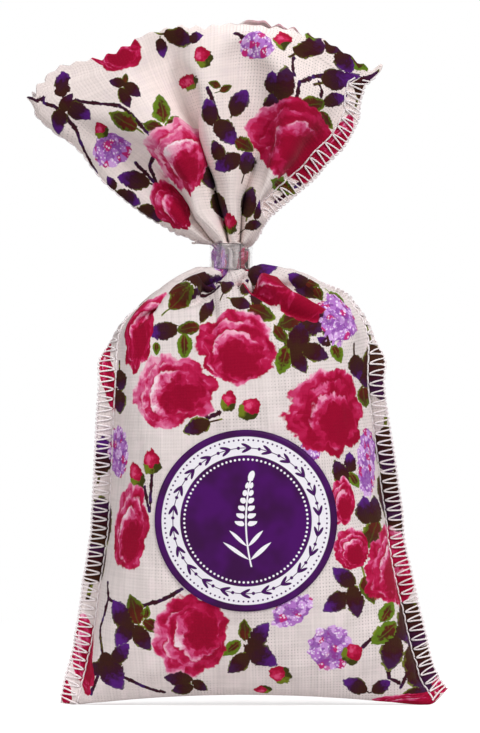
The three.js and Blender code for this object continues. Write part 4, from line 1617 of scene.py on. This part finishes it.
@dataclass(frozen=True)
class LabelPaper:
    """Coated paper in purple and white, with a sprig and a ring of dots and leaves."""

    purple: str = "3F0A52"
    white: str = "F1EEF3"

    def make(self) -> Material:
        """Build the material.

        Returns:
            The material.
        """
        p = Palette("label_paper", Roughness=0.5, Specular_IOR_Level=0.12)
        place = p.attribute("label_place")
        x, y, _ = p.parts(place)
        out = x.hypot(y)
        angle = y.math("ARCTAN2", x)
        fibre = p.noise(place, 3.0, 3.0)
        white = p.mix(fibre, "E4DFE8", self.white)
        purple = p.mix(p.noise(place, 0.12).step(0.35, 0.65), "36063F", "47085E")
        ring = out.step(14.35, 14.5) * out.step(18.55, 18.4)
        colour = p.mix(ring, purple, white)
        colour = p.mix(self.dots(angle, out, 104, 17.75, 0.2), colour, self.purple)
        colour = p.mix(self.garland(angle, out), colour, self.purple)
        colour = p.mix(self.dots(angle, out, 88, 13.5, 0.24), colour, self.white)
        colour = p.mix(self.sprig(x, y), colour, self.white)
        p.link(colour, "Base Color")
        p.bump(fibre, 0.00003, 0.3)
        return p.material

    @staticmethod
    def dots(angle: Ink, out: Ink, count: int, ring: float, size: float) -> Ink:
        """1 on a ring of dots, by their count and the radii of the ring and of a dot."""
        along = ((angle * (count / math.tau)).wrap() - 0.5) * (math.tau * ring / count)
        return along.hypot(out - ring).step(size + 0.06, size - 0.04)

    @staticmethod
    def garland(angle: Ink, out: Ink) -> Ink:
        """Leaves in pairs round the white ring, with a berry between pairs.

        Args:
            angle: round the label.
            out: from its middle.

        Returns:
            1 on the leaves.
        """
        pitch = math.tau * 16.0 / 22
        along = ((angle * (22 / math.tau)).wrap() - 0.5) * pitch
        lift = out - 16.0
        slant = abs(lift) - (along + 1.1) * 0.45
        leaf = (abs(along + 0.15) * 0.85).power(2.0) + (slant * 2.6).power(2.0)
        berry = (along - 1.65).hypot(lift).step(0.42, 0.32)
        stalk = abs(lift).step(0.13, 0.05)
        return leaf.step(1.0, 0.85) | berry | stalk

    @staticmethod
    def sprig(x: Ink, y: Ink) -> Ink:
        """A sprig of lavender: florets up a stem, over two pairs of leaves.

        Args:
            x: across the label.
            y: up the label.

        Returns:
            1 on the sprig.
        """
        lean = x - (y * y) * 0.012
        side = abs(lean)
        row = ((y / 1.7).wrap() - 0.5) * 1.7
        taper = (y - 2.2) * -0.1 + 1.0
        floret = ((side - taper * 1.15) / (taper * 0.9)).power(2.0) + ((row - side * 0.35) / 0.72).power(2.0)
        head = floret.step(1.0, 0.82) * y.step(-1.68, -1.6) * y.step(9.6, 9.3)
        tip = (lean / 0.75).hypot((y - 9.9) / 1.2).step(1.0, 0.85)
        stem = side.step(0.24, 0.12) * y.step(-10.2, -9.9) * y.step(9.9, 9.6)
        shape = head | tip | stem
        for base, slope, long in ((-8.6, 0.75, 5.4), (-5.6, 0.95, 3.8)):
            rise = y - base - side * slope
            bow = (side / long - 0.5) * 2.0
            blade = (bow * bow * -1.0 + 1.0 | 0.0) * 0.62
            shape = shape | (blade - abs(rise)).step(0.0, 0.1) * side.step(long, long - 0.2)
        return shape


@dataclass(frozen=True)
class DriedLavender:
    """Dried flower buds, grey violet to brown green."""

    violet: str = "5A4C7E"
    brown: str = "6E6650"

    def make(self) -> Material:
        """Build the material.

        Returns:
            The material.
        """
        p = Palette("dried_lavender", Roughness=0.9)
        place = p.object_place()
        patch = p.noise(place, 420.0, 3.0)
        ribs = p.noise(place, 2600.0)
        tint = p.mix(patch.step(0.4, 0.6), self.violet, self.brown)
        p.link(p.mix(ribs.step(0.3, 0.7) * 0.4, tint, "A99FC0"), "Base Color")
        p.bump(ribs, 0.0002, 0.6)
        return p.material


def new_object(name: str, mesh: Mesh, *materials: Material) -> Piece:
    """Put a mesh in the scene.

    Args:
        name: of the object.
        mesh: its mesh.
        materials: its finishes.

    Returns:
        The object.
    """
    piece = bpy.data.objects.new(name, mesh)
    bpy.context.scene.collection.objects.link(piece)
    for material in materials:
        mesh.materials.append(material)
    mesh.shade_smooth()
    return piece


def finished(builder: Builder, name: str) -> Mesh:
    """Make a mesh of what has been modelled.

    Args:
        builder: the model, which is freed.
        name: of the mesh.

    Returns:
        The mesh.
    """
    mesh = bpy.data.meshes.new(name)
    builder.to_mesh(mesh)
    builder.free()
    return mesh


def set_vectors(mesh: Mesh, name: str, domain: str, values: Array) -> None:
    """Store a vector for each point or corner of a mesh, by its attribute's name and domain."""
    layer = mesh.attributes.new(name, "FLOAT_VECTOR", domain)
    layer.data.foreach_set("vector", np.ascontiguousarray(values, dtype=np.float32).ravel())


@dataclass
class ClothPanels:
    """Turns rows of the strip into a printed mesh."""

    bag: SewnBag
    artwork: Artwork

    def rows_between(self, low: float, high: float, front: bool) -> Array:
        """Rows of one panel between two cloth lengths, in the order of the strip."""
        heights = self.bag.grid.along[:, 0] * (1 if front else -1)
        return np.where((heights >= low - 0.01) & (heights <= high + 0.01))[0]

    def mesh(self, name: str, blocks: Sequence[Array], sewn: bool) -> Mesh:
        """Make one mesh of some blocks of rows.

        Args:
            name: of the mesh.
            blocks: rows of each block.
            sewn: whether the panels join at their outer edges.

        Returns:
            The mesh, with the print's coordinates at its corners.
        """
        grid = self.bag.grid
        columns = grid.across.shape[1]
        builder = bmesh.new()
        points, places = [], []
        for rows in blocks:
            bmesh.ops.create_grid(builder, x_segments=columns - 1, y_segments=len(rows) - 1, size=1.0)
            points.append(grid.points[rows].reshape(-1, 3))
            places.append(np.stack([grid.across[rows], grid.along[rows]], -1).reshape(-1, 2))
        mesh = finished(builder, name)
        mesh.vertices.foreach_set("co", (np.concatenate(points) * MM).astype(np.float32).ravel())
        self.dress(mesh, np.concatenate(places))
        if sewn:
            self.close(mesh, np.concatenate(places))
        mesh.update()
        return mesh

    def dress(self, mesh: Mesh, places: Array) -> None:
        """Store where the cloth and each layer of the print lie at the corners.

        Args:
            mesh: a mesh of quads.
            places: cloth place of each point.
        """
        corner = np.empty(len(mesh.loops), dtype=np.int32)
        mesh.loops.foreach_get("vertex_index", corner)
        corners = places[corner].reshape(-1, 4, 2)
        faces = corners.mean(axis=1)
        flat = np.concatenate([corners, np.zeros(corners.shape[:2] + (1,))], -1)
        set_vectors(mesh, "cloth_place", "CORNER", flat)
        for kind in Kind:
            set_vectors(mesh, kind.value, "CORNER", self.artwork.layer(kind, faces, corners))
        set_vectors(mesh, "print_stem_and_shade", "CORNER", self.artwork.stem_and_shade_layer(faces, corners))

    def close(self, mesh: Mesh, places: Array) -> None:
        """Sew the outer edges of the two panels together.

        Args:
            mesh: the mesh of both panels.
            places: cloth place of each point.
        """
        builder = bmesh.new()
        builder.from_mesh(mesh)
        builder.verts.ensure_lookup_table()
        edge = np.where(np.abs(places[:, 0]) > self.bag.cut.width / 2 - 0.01)[0]
        bmesh.ops.remove_doubles(builder, verts=[builder.verts[int(i)] for i in edge], dist=1e-7)
        builder.to_mesh(mesh)
        builder.free()


@dataclass
class Pouch:
    """The filled pouch below the tape."""

    panels: ClothPanels
    fill: float = 0.85
    overlap: float = 0.6

    def build(self, cotton: Material) -> Piece:
        """Make the pouch's cloth.

        Args:
            cotton: its finish.

        Returns:
            The piece.
        """
        cut = self.panels.bag.cut
        along = self.panels.bag.grid.along[:, 0]
        rows = np.where(np.abs(along) <= cut.pouch + self.overlap)[0]
        piece = new_object("pouch_skin", self.panels.mesh("pouch_skin", [rows], True), cotton)
        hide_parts("pouch_cloth")
        bend_to_neck(piece)
        return piece


def bend_to_neck(piece: Piece) -> None:
    """Bake a piece's place into its mesh."""
    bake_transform(piece)


def bend_to_frill(piece: Piece) -> None:
    """Bake a piece's place into its mesh."""
    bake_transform(piece)


@dataclass
class Neck:
    """The gathered bundle at the neck and the clear tape round it."""

    panels: ClothPanels
    tape_radius: float = 4.75
    tape_gauge: float = 0.1
    overlap: float = 0.4
    lap: float = 70.0
    lap_lift: float = 0.22
    margin: float = 0.1
    outer_end: float = -63.0
    turn_steps: int = 172
    height_steps: int = 14

    def build_bundle(self, cotton: Material) -> Piece:
        """Make the folded cloth under the tape.

        Args:
            cotton: its finish.

        Returns:
            The piece.
        """
        cut = self.panels.bag.cut
        low, high = cut.pouch - self.overlap, cut.tape_top + self.overlap
        blocks = [self.panels.rows_between(low, high, front) for front in (False, True)]
        piece = new_object("neck_bundle", self.panels.mesh("neck_bundle", blocks, True), cotton)
        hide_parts("neck_gather")
        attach(piece, "neck")
        return piece

    def build_tape(self, clear: Material) -> Piece:
        """Wind the tape round the bundle, with its outer end lapped over the front.

        Args:
            clear: its finish.

        Returns:
            The piece.
        """
        bag = self.panels.bag
        builder = bmesh.new()
        bmesh.ops.create_grid(builder, x_segments=self.turn_steps, y_segments=self.height_steps, size=0.5)
        total = 360.0 + self.lap
        places = [(vertex.co.x + 0.5, vertex.co.y + 0.5, 0.0) for vertex in builder.verts]
        for vertex, (turn, rise, _) in zip(builder.verts, places):
            angle = math.radians(self.outer_end - total * (1 - turn))
            waves = 0.16 * math.sin(3 * angle + 0.6) + 0.08 * math.sin(7 * angle + 2.0)
            pinch = 0.12 * math.cos(math.tau * rise) * math.sin(4 * angle + 1.0)
            radius = self.tape_radius + waves + pinch + self.lap_lift * max(turn - 0.75, 0.0) * 4 * 0.9
            height = bag.tape_low - self.margin + rise * (bag.tape_high - bag.tape_low + 2 * self.margin)
            height += 0.12 * math.sin(2 * angle + 0.4)
            vertex.co = Vector((
                bag.neck_x + radius * math.cos(angle), radius * math.sin(angle), height)) * MM
        mesh = finished(builder, "tape_band")
        set_vectors(mesh, "tape_place", "POINT", np.array(places))
        piece = new_object("tape_band", mesh, clear)
        wall = piece.modifiers.new("gauge", "SOLIDIFY")
        wall.thickness = self.tape_gauge * MM
        wall.offset = 1.0
        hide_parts("neck_tape")
        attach(piece, "neck")
        return piece


@dataclass
class Frill:
    """The open, gathered cloth above the tape."""

    panels: ClothPanels
    overlap: float = 0.6
    gauge: float = 0.18

    def build(self, cotton: Material, inside: Material) -> Piece:
        """Make the frill's two panels.

        Args:
            cotton: finish of the printed side.
            inside: finish of the other side.

        Returns:
            The piece.
        """
        cut = self.panels.bag.cut
        low = cut.tape_top - self.overlap
        blocks = [self.panels.rows_between(low, cut.length, front) for front in (False, True)]
        piece = new_object("frill_panels", self.panels.mesh("frill_panels", blocks, False), cotton, inside)
        wall = piece.modifiers.new("thickness", "SOLIDIFY")
        wall.thickness = self.gauge * MM
        wall.offset = -1.0
        wall.material_offset = 1
        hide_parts("frill_cloth")
        bend_to_frill(piece)
        return piece


@dataclass
class RoundLabel:
    """The round paper sticker on the front."""

    bag: SewnBag
    radius: float = 20.0
    gauge: float = 0.18
    rings: int = 26
    turns: int = 128
    glue: float = 0.06
    edge_curl: float = 0.12
    curl_width: float = 3.0

    def build(self, paper: Material) -> Piece:
        """Spin a disc and lay it on the cloth.

        Args:
            paper: its finish.

        Returns:
            The piece.
        """
        builder = bmesh.new()
        line = [builder.verts.new((self.radius * k / self.rings, 0.0, 0.0)) for k in range(self.rings + 1)]
        for a, b in zip(line, line[1:]):
            builder.edges.new((a, b))
        bmesh.ops.spin(
            builder, geom=list(builder.verts) + list(builder.edges), cent=(0, 0, 0), axis=(0, 1, 0),
            angle=math.tau, steps=self.turns, use_merge=True, use_duplicate=False)
        bmesh.ops.remove_doubles(builder, verts=list(builder.verts), dist=1e-4)
        bmesh.ops.recalc_face_normals(builder, faces=list(builder.faces))
        if sum(face.normal.y for face in builder.faces) > 0:
            bmesh.ops.reverse_faces(builder, faces=list(builder.faces))
        mesh = finished(builder, "round_sticker")
        flat = np.empty(len(mesh.vertices) * 3, dtype=np.float32)
        mesh.vertices.foreach_get("co", flat)
        flat = flat.reshape(-1, 3)
        out = np.hypot(flat[:, 0], flat[:, 2])
        place = np.stack([flat[:, 0], flat[:, 2], np.zeros(len(flat))], -1)
        set_vectors(mesh, "label_place", "POINT", place)
        lift = self.gauge + self.glue + self.edge_curl * ease(out, self.radius - self.curl_width, self.radius)
        y = self.bag.label_face(flat[:, 0], flat[:, 2]) - lift
        seated = np.stack([flat[:, 0], y, flat[:, 2] + self.bag.label_height], -1)
        mesh.vertices.foreach_set("co", (seated * MM).astype(np.float32).ravel())
        piece = new_object("round_sticker", mesh, paper)
        wall = piece.modifiers.new("gauge", "SOLIDIFY")
        wall.thickness = self.gauge * MM
        wall.offset = -1.0
        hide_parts("round_label")
        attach(piece, "pouch")
        return piece


@dataclass
class OverlockSeam:
    """The three threads of the overlock along one side of the pouch or the frill."""

    bag: SewnBag
    side: Side
    zone: Zone
    pitch: float = 2.1
    radius: float = 0.19
    smoothing: int = 3
    base_room: float = 0.8
    tape_room: float = 5.0
    edge_room: float = 1.6

    def build(self, cotton_thread: Material) -> list[Piece]:
        """Make the needle thread and the two looper threads.

        Args:
            cotton_thread: their finish.

        Returns:
            The pieces.
        """
        paths = {Thread.NEEDLE: self.needle_path(), Thread.UPPER: self.zigzag(True, 0.0),
                 Thread.LOWER: self.zigzag(False, 0.5)}
        where = "" if self.zone is Zone.POUCH else "frill_"
        pieces = []
        for thread, path in paths.items():
            stem = f"{where}{self.side.name.lower()}_{thread.value}"
            piece = self.tube(f"{stem}_stitches", path, cotton_thread)
            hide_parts(f"{stem}_thread")
            if self.zone is Zone.POUCH:
                bend_to_neck(piece)
            else:
                bend_to_frill(piece)
            pieces.append(piece)
        return pieces

    def span(self) -> tuple[float, float]:
        """Cloth lengths between which this seam shows."""
        cut = self.bag.cut
        if self.zone is Zone.POUCH:
            return self.base_room, cut.pouch - self.tape_room
        return cut.tape_top + self.tape_room, cut.length - self.edge_room

    def place(self, across: Array, along: Array, lift: Array, front: bool) -> Array:
        """Points over the seam.

        Args:
            across: distance from the strip's middle.
            along: cloth length from the base fold.
            lift: height over the panel's face.
            front: whether the front panel is meant.

        Returns:
            The points.
        """
        grid = self.bag.grid
        half = self.bag.cut.width / 2
        u = self.side.value * np.minimum(across, half)
        v = along if front else -along
        points = grid.sample(grid.points, u, v)
        inner = grid.sample(grid.points, self.side.value * np.full_like(across, half - 1.5), v)
        outer = grid.sample(grid.points, self.side.value * np.full_like(across, half), v)
        outward = unit(outer - inner)
        normals = grid.sample(grid.normals(), u, v)
        return points + normals * lift[:, None] + outward * np.maximum(across - half, 0)[:, None]

    def marks(self) -> Array:
        """Cloth lengths of the needle's stitches."""
        low, high = self.span()
        return np.arange(low, high, self.pitch)

    def needle_path(self) -> Array:
        """Stitches along the needle line, which dip into the cloth at each mark.

        Returns:
            Points of the thread.
        """
        steps = np.arange(0, len(self.marks()) - 1, 0.125)
        along = self.marks()[0] + steps * self.pitch
        dip = np.abs(np.sin(np.pi * steps)) ** 0.5
        across = np.full_like(along, self.bag.cut.stitch_line + 0.1)
        return self.place(across, along, 0.42 * dip - 0.2, True)

    def zigzag(self, front: bool, shift: float) -> Array:
        """Looper thread from the needle line out to the edge and back.

        Args:
            front: whether it lies on the front.
            shift: part of a stitch by which it starts later.

        Returns:
            Points of the thread.
        """
        inner = self.bag.cut.stitch_line - 0.25
        outer = self.bag.cut.width / 2 + 0.18
        knots = []
        for mark in self.marks()[:-1] + shift * self.pitch:
            knots += [
                (inner, mark, 0.3), (inner + 2.2, mark + 0.22 * self.pitch, 0.24),
                (outer, mark + 0.36 * self.pitch, 0.0), (outer + 0.12, mark + 0.55 * self.pitch, -0.05),
                (outer - 0.1, mark + 0.72 * self.pitch, 0.1), (inner + 2.2, mark + 0.84 * self.pitch, 0.26)]
        table = np.array(knots)
        return self.place(table[:, 0], table[:, 1], table[:, 2], front)

    def tube(self, name: str, path: Array, cotton_thread: Material) -> Piece:
        """Sweep a round thread along a path.

        Args:
            name: of the piece.
            path: points of the thread.
            cotton_thread: its finish.

        Returns:
            The piece.
        """
        curve = bpy.data.curves.new(name, "CURVE")
        curve.dimensions = "3D"
        curve.resolution_u = self.smoothing
        curve.bevel_depth = self.radius * MM
        curve.bevel_resolution = 1
        curve.use_fill_caps = True
        spline = curve.splines.new("NURBS")
        spline.points.add(len(path) - 1)
        spline.order_u = 3
        spline.use_endpoint_u = True
        spline.points.foreach_set("co", np.concatenate([path * MM, np.ones((len(path), 1))], 1).ravel())
        shell = bpy.data.objects.new(f"{name}_path", curve)
        bpy.context.scene.collection.objects.link(shell)
        bpy.context.view_layer.update()
        mesh = bpy.data.meshes.new_from_object(shell)
        bpy.data.objects.remove(shell)
        bpy.data.curves.remove(curve)
        mesh.name = name
        mesh.materials.clear()
        return new_object(name, mesh, cotton_thread)


@dataclass
class LavenderFill:
    """Loose dried buds over a packed core, inside the pouch."""

    bag: SewnBag
    handfuls: int = 30
    buds: int = 30
    bud_length: float = 2.3
    bud_width: float = 0.45
    bud_inset: float = 1.4
    bud_spread: float = 0.7
    core_inset: float = 2.2
    seam_room: float = 5.5
    clearance: float = 2.4
    lowest: float = 7.0
    highest: float = 90.0

    def build(self, dried: Material) -> Piece:
        """Make the core and scatter buds over it.

        Args:
            dried: its finish.

        Returns:
            The piece.
        """
        builder = bmesh.new()
        middle = 0.5 * (self.lowest + self.highest)
        tall = 0.5 * (self.highest - self.lowest) - 2
        bmesh.ops.create_icosphere(builder, subdivisions=5, radius=1.0)
        for vertex in builder.verts:
            z = middle + tall * vertex.co.z
            vertex.co = self.inside(vertex.co, z, self.clearance + self.core_inset) * MM
        draw = np.random.default_rng(11)
        for _ in range(self.handfuls):
            self.scatter(builder, draw, middle, tall + 1.2)
        mesh = finished(builder, "lavender_buds")
        piece = new_object("lavender_buds", mesh, dried)
        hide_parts("lavender_fill")
        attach(piece, "pouch")
        return piece

    def scatter(self, builder: Builder, draw: np.random.Generator, middle: float, tall: float) -> None:
        """Add one handful of buds.

        Args:
            builder: the mesh to add to.
            draw: source of random numbers.
            middle: height of the fill's middle.
            tall: half its height.
        """
        handful = bmesh.new()
        for _ in range(self.buds):
            way = Vector(draw.normal(0, 1, 3)).normalized()
            inset = self.clearance + self.bud_inset + draw.uniform(0, self.bud_spread)
            place = self.inside(way, middle + tall * way.z, inset)
            turn = Euler(draw.uniform(0, math.tau, 3)).to_matrix().to_4x4()
            half = self.bud_length / 2 * draw.uniform(0.8, 1.15)
            scale = Matrix.Diagonal((self.bud_width * half, self.bud_width * half, half, 1.0))
            matrix = Matrix.Scale(MM, 4) @ Matrix.Translation(place) @ turn @ scale
            bmesh.ops.create_uvsphere(handful, u_segments=6, v_segments=5, radius=1.0, matrix=matrix)
        mesh = finished(handful, "handful")
        builder.from_mesh(mesh)
        bpy.data.meshes.remove(mesh)

    def inside(self, way: Vector, z: float, inset: float) -> Vector:
        """Place on an oval section inside the cloth.

        Args:
            way: direction from the middle.
            z: height of the section.
            inset: distance from the cloth.

        Returns:
            The place.
        """
        mould = self.bag.mould
        left, right = mould.sides(np.array([z]))
        wide = max(0.5 * float(right[0] - left[0]) - self.seam_room - inset, 1.0)
        offset = 0.5 * float(right[0] + left[0])
        flat = math.hypot(way.x, way.y)
        reach = math.sqrt(max(1 - way.z * way.z, 0.0)) ** 0.4
        x = wide * way.x / max(flat, 1e-6) * reach
        deep = float(mould.depth(np.array([0.0]), np.array([z]))[0]) - inset - 1.0
        y = max(deep, 0.6) * way.y / max(flat, 1e-6) * reach * 0.92
        return Vector((x + offset, y, z))


@dataclass
class Studio:
    """Pale floor, soft lamps and the camera."""

    camera_place: tuple[float, float, float] = (-0.0013, -0.9, 0.0755)
    focal_length: float = 198.0
    sensor: float = 36.0
    floor_size: float = 6.0
    sky: float = 0.36
    aim: tuple[float, float, float] = (0.0, 0.0, 0.07)
    # Name, place, size and power of each lamp
    lamps: tuple[tuple[str, tuple[float, float, float], float, float], ...] = (
        ("key", (0.5, -0.7, 0.75), 0.4, 8.0), ("fill", (-0.7, -0.75, 0.3), 0.6, 3.0),
        ("top", (0.0, 0.3, 0.9), 0.5, 3.0))

    def build(self) -> None:
        """Make the floor, the surroundings, the lamps and the camera."""
        self.make_camera()
        self.make_floor()
        self.make_surroundings()
        for lamp in self.lamps:
            self.make_lamp(*lamp)

    def make_camera(self) -> None:
        """Stand the camera level with the middle of the sachet."""
        camera = bpy.data.cameras.new("camera")
        camera.lens = self.focal_length
        camera.sensor_width = self.sensor
        camera.clip_end = 50.0
        stand = bpy.data.objects.new("camera", camera)
        stand.location = self.camera_place
        stand.rotation_euler = (math.pi / 2, 0.0, 0.0)
        bpy.context.scene.collection.objects.link(stand)
        bpy.context.scene.camera = stand

    def make_floor(self) -> None:
        """Lay a pale floor that keeps the sachet's shadow."""
        builder = bmesh.new()
        bmesh.ops.create_grid(builder, x_segments=8, y_segments=8, size=self.floor_size / 2)
        mesh = finished(builder, "floor")
        p = Palette("floor", Roughness=1.0, Specular_IOR_Level=0.0, Emission_Color=(1.0, 1.0, 1.0, 1.0))
        x, y, _ = p.parts(p.object_place())
        far = x.hypot(y).step(0.08, 0.3)
        p.link(p.mix(far, "E4E4E4", "000000"), "Base Color")
        p.link(self.seen_directly(p.tree) * (far * 0.4 + 0.6), "Emission Strength")
        new_object("floor", mesh, p.material)

    @staticmethod
    def seen_directly(tree: Nodes) -> Ink:
        """1 where a ray comes from the camera, a gloss or a clear piece.

        Args:
            tree: the nodes of a material or of the surroundings.

        Returns:
            The value.
        """
        path = add_node(tree, "ShaderNodeLightPath", {})
        rays = ("Is Camera Ray", "Is Glossy Ray", "Is Transmission Ray")
        camera, gloss, clear = (Ink(tree, path.outputs[ray]) for ray in rays)
        return camera | gloss | clear

    def make_surroundings(self) -> None:
        """Light the scene evenly, and show white behind it."""
        world = bpy.data.worlds.new("surroundings")
        bpy.context.scene.world = world
        world.use_nodes = True
        tree = world.node_tree
        strength = self.seen_directly(tree) * (1.0 - self.sky) + self.sky
        background = tree.nodes["Background"]
        background.inputs["Color"].default_value = (1.0, 1.0, 1.0, 1.0)
        tree.links.new(strength.socket, background.inputs["Strength"])

    def make_lamp(self, name: str, place: tuple[float, float, float], size: float, power: float) -> None:
        """Hang a soft square lamp that faces the sachet.

        Args:
            name: of the lamp.
            place: of the lamp.
            size: of its side.
            power: in watts.
        """
        lamp = bpy.data.lights.new(name, "AREA")
        lamp.size = size
        lamp.energy = power
        stand = bpy.data.objects.new(name, lamp)
        stand.location = place
        way = Vector(self.aim) - Vector(place)
        stand.rotation_euler = way.to_track_quat("-Z", "Y").to_euler()
        bpy.context.scene.collection.objects.link(stand)


def report(piece: Piece) -> None:
    """Log a piece's name and size."""
    LOG.info("%s: %d faces", piece.name, len(piece.data.polygons))


def main() -> None:
    """Build the sachet and its studio."""
    logging.basicConfig(level=logging.INFO, format="%(name)s %(message)s")
    bpy.context.scene.view_settings.view_transform = "Standard"
    Studio().build()
    bag = SewnBag()
    panels = ClothPanels(bag, Artwork(bag))
    cotton = PrintedCotton().make()
    inside = PrintedCotton(name="printed_cotton_inside", show=0.4).make()
    report(Pouch(panels).build(cotton))
    neck = Neck(panels)
    report(neck.build_bundle(cotton))
    report(neck.build_tape(ClearTape().make()))
    # The frill's cotton is the same cloth with a brighter, pinker ground and threads: painted light for the
    # light that comes through its thin layers.
    lit = PrintedCotton(name="printed_cotton_lit_through", ground="F8E9E5", shade="EADCD8").make()
    report(Frill(panels).build(lit, inside))
    report(RoundLabel(bag).build(LabelPaper().make()))
    thread = OverlockThread().make()
    for zone in Zone:
        for side in Side:
            for piece in OverlockSeam(bag, side, zone).build(thread):
                report(piece)
    report(LavenderFill(bag).build(DriedLavender().make()))


if __name__ == "__main__":
    main()
